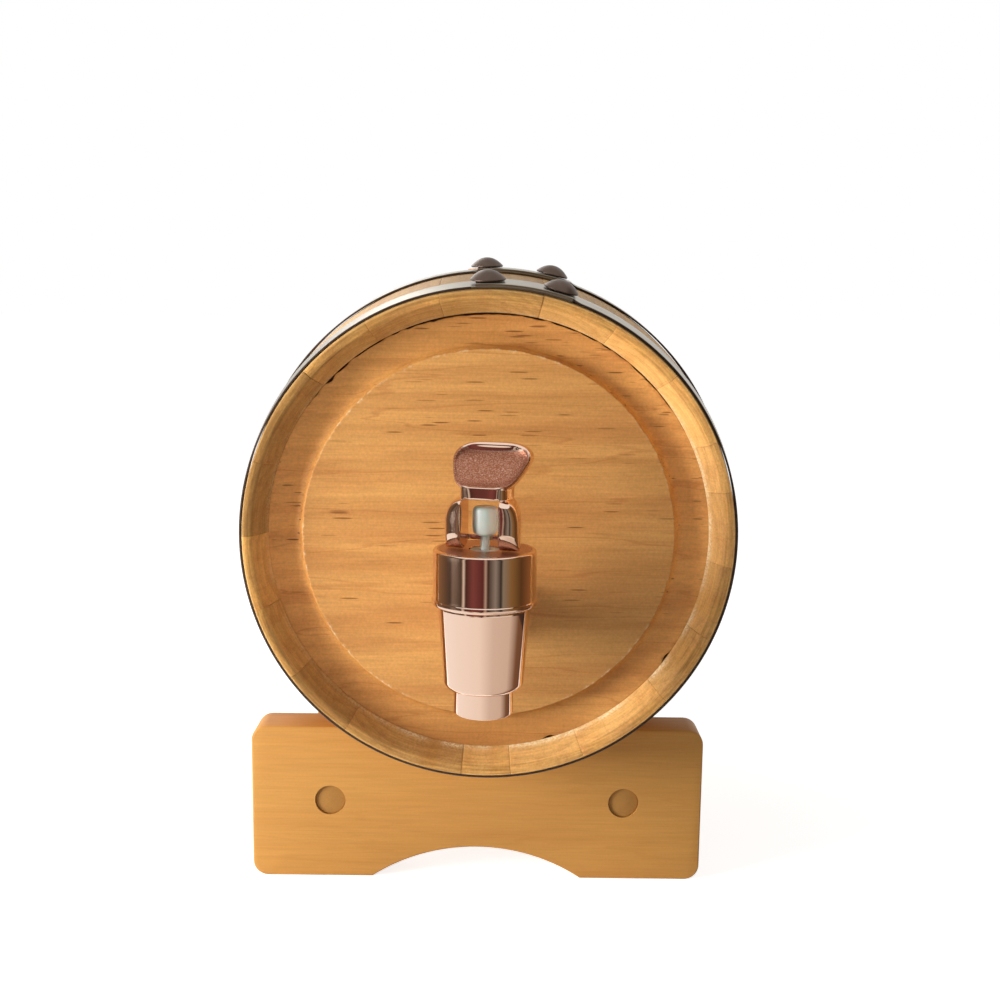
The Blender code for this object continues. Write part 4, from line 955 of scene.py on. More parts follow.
class BARREL_OT_staves(bpy.types.Operator):
    """Builds the staves, with their croze grooves and the bung's hole"""

    bl_idname = "barrel.staves"
    bl_label = "Staves"

    def execute(self, context):
        sizes = context.scene.barrel_sizes
        values = {
            "Bilge Radius": sizes.bilge_radius,
            "Chime Radius": sizes.chime_radius,
            "Half Length": HALF_LENGTH,
            "Joint Gap": sizes.joint_gap,
            "Axis Height": AXIS_HEIGHT,
            "Middle": BARREL_Y,
            "Material": finishes()["stave_wood"],
        }
        mesh = set_on_points(stave_tree(), stave_row(sizes), stave_blank(sizes), values)
        solid = in_scene("staves_solid", mesh)
        hole = turned_mesh("bung_hole", bung_profile(BUNG_RADIUS + SEAT_GAP, BUNG_LENGTH * 2), 64)
        mesh = evaluated_mesh(solid, cut_away(solid, hole, bung_place(sizes)))
        scale_torn(mesh)
        nodes = [f"stave_{i:02d}" for i in range(1, len(STAVE_FLATS))]
        hand_over("staves", mesh, "barrel", "stave_wood", "bung_stave", *nodes, sharp=35.0)
        return {"FINISHED"}


def crack_width(angles, seed):
    """Width of the dry joint between a head and the staves, open over the top of the barrel."""
    degrees = np.degrees(angles)
    open_share = ramp(degrees, 28, 42) * ramp(degrees, 146, 138)
    rough = np.clip(0.3 + 0.35 * ridge(angles, seed + 11, 22.0), 0.08, 0.6)
    gaping = 0.55 * np.exp(-(((degrees - 94) / 10) ** 2))
    notches = sum(np.exp(-(((degrees - at) / 1.1) ** 2)) for at in (104.8, 135.6, 287.0, 325.6))
    return (open_share * (rough + gaping) + notches * 0.7) * CRACK_WIDTH


def border_along(share, foot, edge):
    """Place of the coved border, from the foot of the disc's edge, 0, to the staves, 1."""
    low = edge - COVE_DIP
    return low + (foot - low) * ramp(share, COVE_LOW, 0) ** 2 + COVE_DIP * ramp(share, COVE_LOW, 1) ** 2


def head_rings(sizes, seed):
    """A head as rings of radius, place along the barrel, torn fibres and the painted shade in its dry joint.
    """
    angles = np.arange(HEAD_COLUMNS) * 2 * math.pi / HEAD_COLUMNS
    mouth = croze_mouth_radius(sizes)
    disc = mouth - HEAD_BORDER
    face = HALF_LENGTH - HEAD_RECESS
    foot = face - HEAD_STEP
    edge_front = HALF_LENGTH - CROZE_DEPTH_IN - SEAT_GAP
    edge_back = HALF_LENGTH - CROZE_DEPTH_IN - CROZE_WIDTH + SEAT_GAP
    wobble = ridge(angles, seed, 18.0) * 0.12 * MM + ridge(angles, seed + 3, 60.0) * 0.08 * MM
    often = np.clip(0.4 + 1.2 * ridge(angles, seed + 5, 2.2), 0.05, 1)
    ragged = np.clip(ridge(angles, seed + 7, 34.0) + 0.2, 0, 1) * often
    crack = crack_width(angles, seed)
    # How open the dry joint is: it deepens the crack and sets the painted shade inside it.
    gap_shade = np.clip(crack / (0.25 * MM), 0, 1)
    rings = []

    def ring(radius, along, torn=0.0, gap_shading=0.0):
        rings.append(np.stack([np.broadcast_to(v, HEAD_COLUMNS) for v in (radius, along, torn, gap_shading)]))

    for radius in (0.02, 6, 14, 24, 34, 44, 54, 62, 66):
        ring(radius * MM, face)
    for inset, rise, torn in ((1.2, 0.0, 0.0), (0.7, 0.3, 0.2), (0.4, 1.0, 0.8), (0.2, 0.8, 0.9)):
        ring(disc - inset * MM + wobble, face + ragged * rise * 0.14 * MM, ragged * torn)
    ring(disc + wobble, face - 0.15 * MM, ragged * 0.8)
    ring(disc + 0.2 * MM + wobble, face - HEAD_STEP * 0.8)
    ring(disc + 0.7 * MM + wobble * 0.5, foot)
    for share in (0.08, 0.12, 0.17, 0.23, 0.3, 0.4, 0.5, 0.6, 0.7, 0.8, 0.87):
        ring(disc + HEAD_BORDER * share, border_along(share, foot, edge_front))
    lip = crack + 0.2 * MM
    ring(mouth - lip, border_along(1 - lip / HEAD_BORDER, foot, edge_front))
    ring(mouth - crack, edge_front - gap_shade * 0.3 * MM, 0.0, gap_shade)
    ring(mouth - crack * 0.6, edge_front - gap_shade * CRACK_DEPTH, 0.0, gap_shade)
    ring(mouth + 0.1 * MM, edge_front - gap_shade * CRACK_DEPTH, 0.0, gap_shade)
    ring(mouth + 0.5 * MM, edge_front)
    rim = mouth + CROZE_CUT - SEAT_GAP
    back = barrel_radius(edge_back, sizes) - sizes.stave_thickness - HEAD_BACK_BEVEL
    ring(rim, edge_front)
    ring(rim, edge_back)
    ring(back + (edge_back - face + HEAD_THICKNESS), edge_back)
    ring(back, face - HEAD_THICKNESS)
    ring(0.02 * MM, face - HEAD_THICKNESS)
    return angles, np.array(rings)


class BARREL_OT_heads(bpy.types.Operator):
    """Builds both heads, each with a raised disc inside a coved border"""

    bl_idname = "barrel.heads"
    bl_label = "Heads"

    def execute(self, context):
        sizes = context.scene.barrel_sizes
        for name, side, seed in (("front_head", 1, 0.0), ("rear_head", -1, 20.0)):
            angles, rings = head_rings(sizes, seed)
            radii, along, torn, gap_shade = (rings[:, i] for i in range(4))
            mesh = grid_mesh(name, on_barrel(radii, angles[None, :], along * side), close_columns=True)
            points = points_of(mesh)
            up = points[:, 2] - AXIS_HEIGHT
            border = radii > croze_mouth_radius(sizes) - HEAD_BORDER
            # Painted light: the coved border is painted paler at its left and right sides, where light falls
            # across the cove.
            tone_and_painted_light = (border * 3.0 * np.cos(angles) ** 2).ravel()
            if side == 1:
                # Painted shadow: the board is painted darker below the tap, on the right, where the tap's
                # shadow falls.
                aside = (points[:, 0] - 36 * MM) / (42 * MM)
                below = (up + 52 * MM) / (34 * MM)
                tone_and_painted_light -= 2.6 * np.exp(-(aside**2) - below**2)
            store(mesh, "grain", np.stack([up, points[:, 0] + seed, points[:, 1] - BARREL_Y], axis=1))
            store(mesh, "torn", torn.ravel())
            store(mesh, "gap_shade", gap_shade.ravel())
            store(mesh, "resin", np.clip(0.12 + up / 0.2, -0.25, 0.5))
            # The border's end grain darkens it, painted lighter at the sides and darker above and below, as
            # painted light.
            store(mesh, "cut", (border * (0.5 - 0.45 * np.abs(np.cos(angles)))).ravel())
            store(mesh, "tone_and_painted_light", tone_and_painted_light)
            close_seams(mesh)
            if side == 1:
                solid = in_scene("head_solid", mesh)
                hole = turned_mesh("hole", rod_profile(SHANK_RADIUS + SEAT_GAP, HEAD_THICKNESS * 2), 48)
                where = (TAP_AXIS.x, BARREL_Y - HALF_LENGTH + HEAD_RECESS, AXIS_HEIGHT + SHANK_HEIGHT)
                place = Matrix.Translation(where) @ Matrix.Rotation(math.pi / 2, 4, "X")
                mesh = evaluated_mesh(solid, cut_away(solid, hole, place))
            hand_over(name, mesh, "barrel", "head_wood", sharp=50.0)
        return {"FINISHED"}


class BARREL_OT_bung(bpy.types.Operator):
    """Builds the tapered bung"""

    bl_idname = "barrel.bung"
    bl_label = "Bung"

    def execute(self, context):
        outline = subdivided(eased(bung_profile(BUNG_RADIUS, BUNG_LENGTH), 0.9 * MM), 2 * MM)
        mesh = turned_mesh("bung", outline, 72)
        store(mesh, "grain", points_of(mesh)[:, [0, 2, 1]] + (0.4, 0.0, 0.03))
        mesh.transform(bung_place(context.scene.barrel_sizes))
        hand_over("bung", mesh, "bung", "head_wood")
        return {"FINISHED"}


def hoop_edges(side, setback, width):
    """Distance along the barrel of a hoop's edge on the tap's side, and of its other edge."""
    edges = (side * (HALF_LENGTH - setback), side * (HALF_LENGTH - setback - width))
    return max(edges), min(edges)


def hoop_mesh(name, near, far, sizes):
    """A strap wound once around the staves, which climbs over its own start at the lap.

    The second result marks the faces of its sheared edges, and of its two ends.
    """
    thickness = sizes.hoop_thickness
    turn = np.radians(np.arange(0, 361 + math.degrees(LAP_ANGLE), 1.0)) + LAP_START
    climb_end = LAP_START + 2 * math.pi
    share = ramp(turn, climb_end - LAP_RISE_ANGLE, climb_end)
    layer = share * share * (3 - 2 * share) * (thickness + 0.04 * MM)
    width = near - far
    corners = [(0.0, 0.0), (width / 2, 0.0, 0.0), (width, 0.0), (width, thickness), (0.0, thickness)]
    outline = eased(corners, STRAP_EDGE, 2, closed=True)
    section = np.array(subdivided([*outline, outline[0]], 2.5 * MM)[:-1])
    along = far + section[:, 0]
    surface = np.array([barrel_radius(value, sizes) for value in along])
    radii = surface[None, :] + SEAT_GAP + section[None, :, 1] + layer[:, None]
    grid = on_barrel(radii, turn[:, None], np.broadcast_to(along, radii.shape))
    mesh = grid_mesh(name, grid, close_columns=True, caps=True)
    strap = (section[:, 0], turn[:, None] * sizes.bilge_radius, section[:, 1])
    grain = np.stack([np.broadcast_to(value, radii.shape) for value in strap], axis=-1)
    store(mesh, "grain", grain.reshape(-1, 3))
    edge = (section[:, 0] < STRAP_EDGE) | (section[:, 0] > width - STRAP_EDGE)
    single = (turn[:-1] > LAP_START + LAP_ANGLE) & (turn[:-1] < climb_end)
    sheared = single[:, None] & (edge & np.roll(edge, -1))[None, :]
    close_seams(mesh)
    return mesh, np.append(sheared.ravel(), (True, True)).astype(np.int32)


class BARREL_OT_hoops(bpy.types.Operator):
    """Builds the four hoops of lapped steel strap"""

    bl_idname = "barrel.hoops"
    bl_label = "Hoops"

    def execute(self, context):
        sizes = context.scene.barrel_sizes
        for name, side, setback, _ in HOOPS:
            near, far = hoop_edges(side, setback, sizes.hoop_width)
            mesh, sheared = hoop_mesh(name, near, far, sizes)
            hand_over(name, mesh, "barrel", "hoop_steel", sharp=50.0)
            mesh.materials.append(finishes()["hoop_edge"])
            mesh.polygons.foreach_set("material_index", sheared)
        return {"FINISHED"}


def rivet_blank():
    """A rivet's head of radius 1 and height 1, with a thin rim under its dome."""
    dome = [(0.97 * r, 0.2 + 0.8 * (1 - r**2.1)) for r in np.linspace(0, 1, 13)]
    return turned_mesh("rivet_blank", [*dome, (1.0, 0.15), (1.0, 0.06), (0.96, 0.0), (0.0, 0.0)], 40)


def rivet_tree():
    """Sets a rivet's head on each point, square to the strap under it."""
    tree, given = new_tree("hoop rivets", {"Head Radius": "Float", "Head Height": "Float", "Seed": "Int"})
    blank = add(tree, "GeometryNodeObjectInfo", {"Object": given["Blank"]}, "Geometry")
    out = add(tree, "GeometryNodeInputNamedAttribute", ("out",), data_type="FLOAT_VECTOR")
    upright = add(tree, "FunctionNodeAlignRotationToVector", {"Vector": out}, axis="Z")
    seeded = {2: 0.0, 3: 2 * math.pi, "Seed": given["Seed"]}
    spin = add(tree, "FunctionNodeRandomValue", seeded, 1, data_type="FLOAT")
    about = add(tree, "FunctionNodeAxisAngleToRotation", {"Axis": (0.0, 0.0, 1.0), "Angle": spin})
    turned = add(
        tree, "FunctionNodeRotateRotation", {"Rotation": upright, "Rotate By": about}, rotation_space="LOCAL"
    )
    radius = given["Head Radius"]
    size = add(tree, "ShaderNodeCombineXYZ", (radius, radius, given["Head Height"]))
    placed = add(
        tree, "GeometryNodeInstanceOnPoints",
        {"Points": given["Geometry"], "Instance": blank, "Rotation": turned, "Scale": size},
    )
    real = add(tree, "GeometryNodeRealizeInstances", (placed,))
    dressed = add(tree, "GeometryNodeSetMaterial", {"Geometry": real, "Material": given["Material"]})
    add(tree, "NodeGroupOutput", (dressed,))
    return tree


def rivet_row(sizes):
    """One point under each rivet's head, with the way that the head faces."""
    points, ways = [], []
    for _, side, setback, angles in HOOPS:
        middle = sum(hoop_edges(side, setback, sizes.hoop_width)) / 2
        slope = math.atan(2 * (sizes.bilge_radius - sizes.chime_radius) * middle / HALF_LENGTH**2)
        top = barrel_radius(middle, sizes) + 2 * SEAT_GAP + 2 * sizes.hoop_thickness
        for turn in np.radians(angles):
            points.append(on_barrel(top, turn, middle).tolist())
            level = math.cos(slope)
            ways.append((math.cos(turn) * level, -math.sin(slope), math.sin(turn) * level))
    row = bpy.data.meshes.new("rivet_row")
    row.from_pydata(points, [], [])
    store(row, "out", ways)
    return row


class BARREL_OT_rivets(bpy.types.Operator):
    """Builds the domed rivets through the laps of the hoops"""

    bl_idname = "barrel.rivets"
    bl_label = "Rivets"

    def execute(self, context):
        sizes = context.scene.barrel_sizes
        values = {
            "Head Radius": sizes.rivet_radius,
            "Head Height": sizes.rivet_height,
            "Seed": sizes.seed,
            "Material": finishes()["rivet_steel"],
        }
        mesh = set_on_points(rivet_tree(), rivet_row(sizes), rivet_blank(), values)
        nodes = [f"{name}_rivet_{number}" for name, _, _, _ in HOOPS for number in (1, 2)]
        hand_over("hoop_rivets", mesh, "barrel", "rivet_steel", *nodes)
        return {"FINISHED"}


def plate_outline(barrel, stand):
    """Front view of a stand plate from the middle of its foot, counter-clockwise."""
    half = (PLATE_HIGH.x - PLATE_LOW.x) / 2
    corner = stand.plate_corner
    inner_face = HALF_LENGTH - PLATE_SETBACK - stand.plate_thickness
    cradle = barrel_radius(inner_face, barrel) + SEAT_GAP
    top = AXIS_HEIGHT - cradle + stand.cradle_depth
    sweep = math.degrees(math.acos(1 - stand.cradle_depth / cradle))
    arch = (stand.arch_half_width**2 + stand.arch_rise**2) / (2 * stand.arch_rise)
    arch_sweep = math.degrees(math.asin(stand.arch_half_width / arch))
    return [
        *arc((half - corner, corner), corner, -90, 0, 10),
        *arc((half - corner, top - corner), corner, 0, 90, 10),
        *arc((-STAND_X, AXIS_HEIGHT), cradle, sweep - 90, -sweep - 90, 60),
        *arc((corner - half, top - corner), corner, 90, 180, 10),
        *arc((corner - half, corner), corner, 180, 270, 10),
        *arc((0.0, stand.arch_rise - arch), arch, 90 + arch_sweep, 90 - arch_sweep, 48),
    ]


def plate_mesh(barrel, stand):
    """A stand plate around its own middle, with rounded edges and two dowel holes."""
    half = stand.plate_thickness / 2
    rows = [[(x, y, z) for x, z in plate_outline(barrel, stand)] for y in (-half, half)]
    mesh = close_seams(grid_mesh("plate", np.array(rows), close_columns=True, caps=True))
    solid = in_scene("plate", mesh)
    soft = solid.modifiers.new("edge", "BEVEL")
    soft.width = stand.plate_edge
    soft.segments = 3
    soft.limit_method = "ANGLE"
    soft.angle_limit = 50 * DEGREE
    hole = rod_profile(stand.dowel_radius + 0.12 * MM, stand.plate_thickness * 2)
    cutters = []
    for across in (-DOWEL_SPREAD, DOWEL_SPREAD):
        place = Matrix.Translation((across, 0.0, DOWEL_HEIGHT)) @ Matrix.Rotation(math.pi / 2, 4, "X")
        cutters.append(cut_away(solid, turned_mesh("hole", hole, 64), place))
    return evaluated_mesh(solid, *cutters)


class BARREL_OT_stand(bpy.types.Operator):
    """Builds the stand's two plates and two dowels"""

    bl_idname = "barrel.stand"
    bl_label = "Stand"

    def execute(self, context):
        barrel, stand = context.scene.barrel_sizes, context.scene.stand_sizes
        plate_middle = HALF_LENGTH - PLATE_SETBACK - stand.plate_thickness / 2
        for name, side, shift in (("stand_front_plate", -1, 0.0), ("stand_rear_plate", 1, 0.7)):
            mesh = plate_mesh(barrel, stand)
            store(mesh, "grain", points_of(mesh)[:, [2, 0, 1]] + (0.0, shift, shift * 0.05))
            mesh.transform(Matrix.Translation((STAND_X, BARREL_Y + side * plate_middle, 0.0)))
            hand_over(name, mesh, "stand", "stand_wood")
        half = plate_middle + stand.plate_thickness / 2 - DOWEL_SUNK
        outline = subdivided(eased(rod_profile(stand.dowel_radius, half), 0.3 * MM, 2), 12 * MM)
        for name, across, tint in (("stand_left_dowel", -1, -3.0), ("stand_right_dowel", 1, -2.8)):
            mesh = turned_mesh(name, outline, 64)
            points = points_of(mesh)
            store(mesh, "grain", points[:, [0, 2, 1]] + (across * 11 * MM, 0.3, 4 * MM))
            store(mesh, "tone_and_painted_light", np.full(len(points), tint))
            place = Matrix.Translation((STAND_X + across * DOWEL_SPREAD, BARREL_Y, DOWEL_HEIGHT))
            mesh.transform(place @ Matrix.Rotation(math.pi / 2, 4, "X"))
            hand_over(name, mesh, "stand", "stand_wood")
        return {"FINISHED"}


def tap_body_profile(tap):
    """The tap body about its upright axis, without its shank, as (radius, height) points."""
    rim = BONNET_TOP - BONNET_ROOF - SEAT_GAP - GASKET_THICKNESS - SEAT_GAP
    collar = tap.bonnet_radius - BONNET_WALL - SEAT_GAP
    shoulder = BONNET_TOP - tap.bonnet_height - SEAT_GAP
    round_middle = (tap.body_foot_radius - BODY_FOOT_ROUND, BODY_FOOT_HEIGHT)
    port_foot = SEAT_HEIGHT - SEAT_THICKNESS
    return eased(
        [
            (CHAMBER_RADIUS, rim),
            (collar, rim),
            (collar, shoulder),
            (tap.body_top_radius, shoulder),
            *[(x, z, 0.0) for x, z in arc(round_middle, BODY_FOOT_ROUND, 0, -78, 10)],
            (tap.spout_radius + 0.15 * MM, BODY_FOOT_HEIGHT - BODY_FOOT_ROUND),
            (tap.spout_radius, BODY_FOOT_HEIGHT - BODY_FOOT_ROUND - 0.5 * MM),
            (tap.spout_radius, SPOUT_FOOT_HEIGHT, 0.6 * MM),
            (SPOUT_BORE_RADIUS, SPOUT_FOOT_HEIGHT, 0.5 * MM),
            (SPOUT_BORE_RADIUS, port_foot),
            (PORT_RADIUS, port_foot),
            (PORT_RADIUS, SEAT_HEIGHT),
            (CHAMBER_RADIUS, SEAT_HEIGHT),
        ],
        0.25 * MM,
        closed=True,
    )


def shank_profile():
    """The neck, flange and threaded shank, as (radius, distance behind the tap's axis)."""
    flange_back = TAP_AHEAD + HEAD_RECESS - WASHER_THICKNESS - 2 * SEAT_GAP
    flange_front = flange_back - FLANGE_THICKNESS
    return eased(
        [
            (SHANK_BORE_RADIUS, NECK_START),
            (NECK_RADIUS, NECK_START),
            (NECK_RADIUS, flange_front, 1.2 * MM),
            (FLANGE_RADIUS, flange_front, 0.6 * MM),
            (FLANGE_RADIUS, flange_back),
            (SHANK_RADIUS, flange_back),
            (SHANK_RADIUS, SHANK_END),
            (SHANK_BORE_RADIUS, SHANK_END),
        ],
        0.4 * MM,
        closed=True,
    )


def bonnet_profile(tap):
    """The bonnet, with the lip along its foot, as (radius, height) points."""
    foot = BONNET_TOP - tap.bonnet_height
    roof = BONNET_TOP - BONNET_ROOF
    inside = tap.bonnet_radius - BONNET_WALL
    lip = tap.bonnet_radius + BONNET_LIP
    return eased(
        [
            (BONNET_EYE_RADIUS, BONNET_TOP, 0.3 * MM),
            (tap.bonnet_radius, BONNET_TOP, 1.1 * MM),
            (tap.bonnet_radius, foot + BONNET_LIP_HEIGHT),
            (lip, foot + BONNET_LIP_HEIGHT - BONNET_LIP),
            (lip, foot, 1.5 * MM),
            (inside, foot),
            (inside, roof),
            (BONNET_EYE_RADIUS, roof),
        ],
        0.2 * MM,
        4,
        closed=True,
    )


def joined(name, *meshes):
    """One mesh of several."""
    bm = bmesh.new()
    for mesh in meshes:
        bm.from_mesh(mesh)
    result = bpy.data.meshes.new(name)
    bm.to_mesh(result)
    bm.free()
    return result


class BARREL_OT_tap_body(bpy.types.Operator):
    """Builds the tap's body and bonnet, its gasket and the washer in front of the head"""

    bl_idname = "barrel.tap_body"
    bl_label = "Tap Body"

    def execute(self, context):
        tap = context.scene.tap_sizes
        profile = subdivided(tap_body_profile(tap), 1 * MM)
        upright = turned_mesh("body", profile, 128, closed=True, place=UPRIGHT)
        shank = turned_mesh("shank", shank_profile(), 96, closed=True, place=LYING)
        hand_over("tap_body", joined("tap_body", upright, shank), "barrel", "rose_gold")

        mesh = turned_mesh("tap_bonnet", subdivided(bonnet_profile(tap), 1 * MM), 128, closed=True)
        points = points_of(mesh)
        inner = np.hypot(points[:, 0], points[:, 1]) < tap.bonnet_radius - 1.2 * MM
        store(mesh, "sand", (points[:, 2] > BONNET_TOP - 0.05 * MM) * inner * 0.8)
        mesh.transform(UPRIGHT)
        hand_over("tap_bonnet", mesh, "barrel", "rose_gold")

        rise = BONNET_TOP - SEAT_GAP
        top = BONNET_TOP - BONNET_ROOF - SEAT_GAP
        under = top - GASKET_THICKNESS
        collar = BONNET_EYE_RADIUS - SEAT_GAP
        eye = STEM_RADIUS + SEAT_GAP
        rim = tap.bonnet_radius - BONNET_WALL - SEAT_GAP
        corners = [(eye, rise), (collar, rise), (collar, top), (rim, top), (rim, under), (eye, under)]
        profile = eased(corners, 0.3 * MM, closed=True)
        mesh = turned_mesh("tap_gasket", profile, 72, closed=True, place=UPRIGHT)
        hand_over("tap_gasket", mesh, "barrel", "silicone")

        back = TAP_AHEAD + HEAD_RECESS - SEAT_GAP
        front = back - WASHER_THICKNESS
        hole = SHANK_RADIUS + SEAT_GAP
        corners = [(hole, front), (WASHER_RADIUS, front), (WASHER_RADIUS, back), (hole, back)]
        profile = eased(corners, 0.5 * MM, closed=True)
        mesh = turned_mesh("tap_outer_washer", profile, 72, closed=True, place=LYING)
        hand_over("tap_outer_washer", mesh, "barrel", "silicone")
        return {"FINISHED"}


class BARREL_OT_plunger(bpy.types.Operator):
    """Builds the plunger that the lever lifts"""

    bl_idname = "barrel.plunger"
    bl_label = "Plunger"

    def execute(self, context):
        foot = SEAT_HEIGHT + CUP_HEIGHT - CUP_WALL - FOOT_THICKNESS
        under = BUTTON_FOOT_HEIGHT
        button = [
            (BUTTON_RADIUS * across, under + BUTTON_HEIGHT * up, 0.8 * MM)
            for across, up in ((0.0, 1.0), (0.72, 0.985), (0.94, 0.93), (1.0, 0.8), (1.0, 0.26))
        ]
        profile = [
            *button,
            (BUTTON_RADIUS * 0.9, under + BUTTON_HEIGHT * 0.08, 0.6 * MM),
            (BUTTON_RADIUS * 0.62, under, 0.4 * MM),
            (STEM_RADIUS, under),
            (STEM_RADIUS, foot + FOOT_THICKNESS),
            (FOOT_RADIUS, foot + FOOT_THICKNESS),
            (FOOT_RADIUS, foot),
            (0.0, foot),
        ]
        profile = subdivided(eased(profile, 0.3 * MM, 5), 3 * MM)
        mesh = turned_mesh("tap_plunger", profile, 72, place=UPRIGHT)
        hand_over("tap_plunger", mesh, "tap_plunger", "milky_plastic")
        return {"FINISHED"}


def lever_face(height):
    """How far behind the pivot the paddle's leaning face lies at this height."""
    share = (height - COLLAR_TOP) / (PADDLE_TOP - COLLAR_TOP)
    return -COLLAR_FRONT + (PADDLE_LEAN + COLLAR_FRONT) * share


def lever_sections():
    """Level sections of the lever: height, front, back, and half width at the front and back."""
    depth, wide = FORK_HALF_DEPTH, FORK_HALF_WIDTH
    cheek = np.array((-depth, depth, wide, wide))
    collar = np.array((-COLLAR_FRONT, COLLAR_BACK, COLLAR_HALF_WIDTH, NECK_HALF_WIDTH))
    sections = []
    for angle in np.linspace(4, 90, 14) * DEGREE:
        half = depth * math.sin(angle)
        sections.append((-depth * math.cos(angle), -half, half, wide, wide))
    for rise in np.linspace(0, 0.97, 14):
        share = 1 - math.sqrt(1 - rise**2.2)
        height = CHEEK_SHOULDER + (COLLAR_FOOT - CHEEK_SHOULDER) * rise
        sections.append((height, *(cheek + (collar - cheek) * share)))
    sections += [(COLLAR_FOOT, *collar), (COLLAR_TOP, *collar)]
    tail = PADDLE_LEAN + PADDLE_THICKNESS
    for share in np.linspace(0.05, 1.0, 14):
        height = COLLAR_TOP + (PADDLE_WIDEST - COLLAR_TOP) * share
        back = COLLAR_BACK + (tail - COLLAR_BACK) * share
        front_half = COLLAR_HALF_WIDTH + (PADDLE_HALF_WIDTH - COLLAR_HALF_WIDTH) * math.sqrt(share)
        spread = math.sin(math.pi / 2 * share) ** 1.3
        back_half = NECK_HALF_WIDTH + (PADDLE_HALF_WIDTH - NECK_HALF_WIDTH) * spread
        sections.append((height, lever_face(height), back, front_half, back_half))
    for angle in (12, 24, 36, 48, 58, 66, 73, 79, 84, 87):
        height = PADDLE_WIDEST + (PADDLE_TOP - PADDLE_WIDEST) * math.sin(angle * DEGREE)
        half = PADDLE_HALF_WIDTH * math.cos(angle * DEGREE) ** 0.55
        sections.append((height, lever_face(height), tail, half, half))
    return sections


def paddle_shift(height):
    """How far the paddle leans to one side at this height."""
    return PADDLE_SHIFT * ramp(height, COLLAR_TOP, PADDLE_WIDEST)


def lever_loft():
    """The lever before its window, slot and scoop are cut."""
    sides = 128
    angles = 2 * math.pi * (np.arange(sides) + 0.5) / sides
    across, along = np.cos(angles), np.sin(angles)
    rows = []
    for height, front, back, front_half, back_half in lever_sections():
        # The fork's corners are rounder than the collar's, and the collar's than the paddle's.
        fork = ramp(height, COLLAR_FOOT, CHEEK_SHOULDER)
        paddle = ramp(height, COLLAR_TOP - 1 * MM, COLLAR_TOP + 2 * MM)
        power = 0.5 + 0.2 * fork - 0.25 * paddle
        share = (np.sign(along) * np.abs(along) ** power + 1) / 2
        half = front_half + (back_half - front_half) * share
        x = half * np.sign(across) * np.abs(across) ** power + paddle_shift(height)
        rows.append(np.stack([x, front + (back - front) * share, np.full(sides, height)], axis=1))
    return close_seams(grid_mesh("lever", np.array(rows), close_columns=True, caps=True))


def fork_gap_mesh(front, back, foot, top):
    """The gap between the cheeks, flared at the front and back, which rounds their inner edges."""
    rows = []
    for y in np.linspace(front, back, 49):
        flare = min(0.999, ramp(abs(y), FORK_HALF_DEPTH - FORK_FLARE, FORK_HALF_DEPTH))
        half = FORK_GAP_HALF_WIDTH + FORK_FLARE * (1 - math.sqrt(1 - flare**2))
        rows.append([(-half, y, foot), (half, y, foot), (half, y, top), (-half, y, top)])
    return close_seams(grid_mesh("gap", np.array(rows), close_columns=True, caps=True))


def face_half_width(height):
    """Half the width of the paddle's face at this height."""
    widening = math.sqrt(ramp(height, COLLAR_TOP, PADDLE_WIDEST))
    rounding = math.sqrt(1 - ramp(height, PADDLE_WIDEST, PADDLE_TOP) ** 2) ** 0.55
    return (COLLAR_HALF_WIDTH + (PADDLE_HALF_WIDTH - COLLAR_HALF_WIDTH) * widening) * rounding


def scoop_depth(share):
    """Depth of the scoop from the collar, 0, to its top, 1."""
    top = math.sqrt(1 - ramp(share, 0.6, 1.0) ** 2.2)
    return SCOOP_DEPTH * top * math.sin(ramp(share, 0.0, 0.35) * math.pi / 2)


def scoop_mesh():
    """What is cut from the paddle: a scoop with rounded sides that starts above the collar."""
    reach = FACE_LENGTH - SCOOP_RIM
    rows = []
    for share in np.linspace(0.02, 1.0, 49):
        height = COLLAR_TOP + reach * share * math.sin(FACE_SLOPE)
        half = max(0.3 * MM, face_half_width(height + SCOOP_RIM * 0.5 * share) - SCOOP_SIDE_RIM)
        middle = paddle_shift(height)
        depth = scoop_depth(share)
        edge = [(u, -depth * math.sqrt(1 - abs(u) ** 2.6)) for u in np.linspace(-1, 1, 41)]
        edge += [(u, SCOOP_DEPTH) for u in np.linspace(1, -1, 11)]
        rows.append([(middle + half * u, reach * share, out) for u, out in edge])
    mesh = close_seams(grid_mesh("scoop", np.array(rows), close_columns=True, caps=True))
    mesh.transform(FACE_PLACE)
    return mesh


def sand_share(points):
    """How much of the moulded sand texture each point of the lever carries."""
    to_face = np.array(FACE_PLACE.inverted())
    x, y, z = (points @ to_face[:3, :3].T + to_face[:3, 3]).T
    heights = COLLAR_TOP + y * math.sin(FACE_SLOPE)
    half = np.array([face_half_width(height) for height in heights])
    side = ramp(half - np.abs(x - paddle_shift(heights)), 0.3 * MM, 0.6 * MM)
    top = ramp(FACE_LENGTH - y, SCOOP_RIM * 1.7, SCOOP_RIM * 1.7 + 0.8 * MM)
    shallow = z > -SCOOP_DEPTH - 0.25 * MM
    return side * top * shallow * ramp(y, 0.7 * MM, 1.2 * MM)


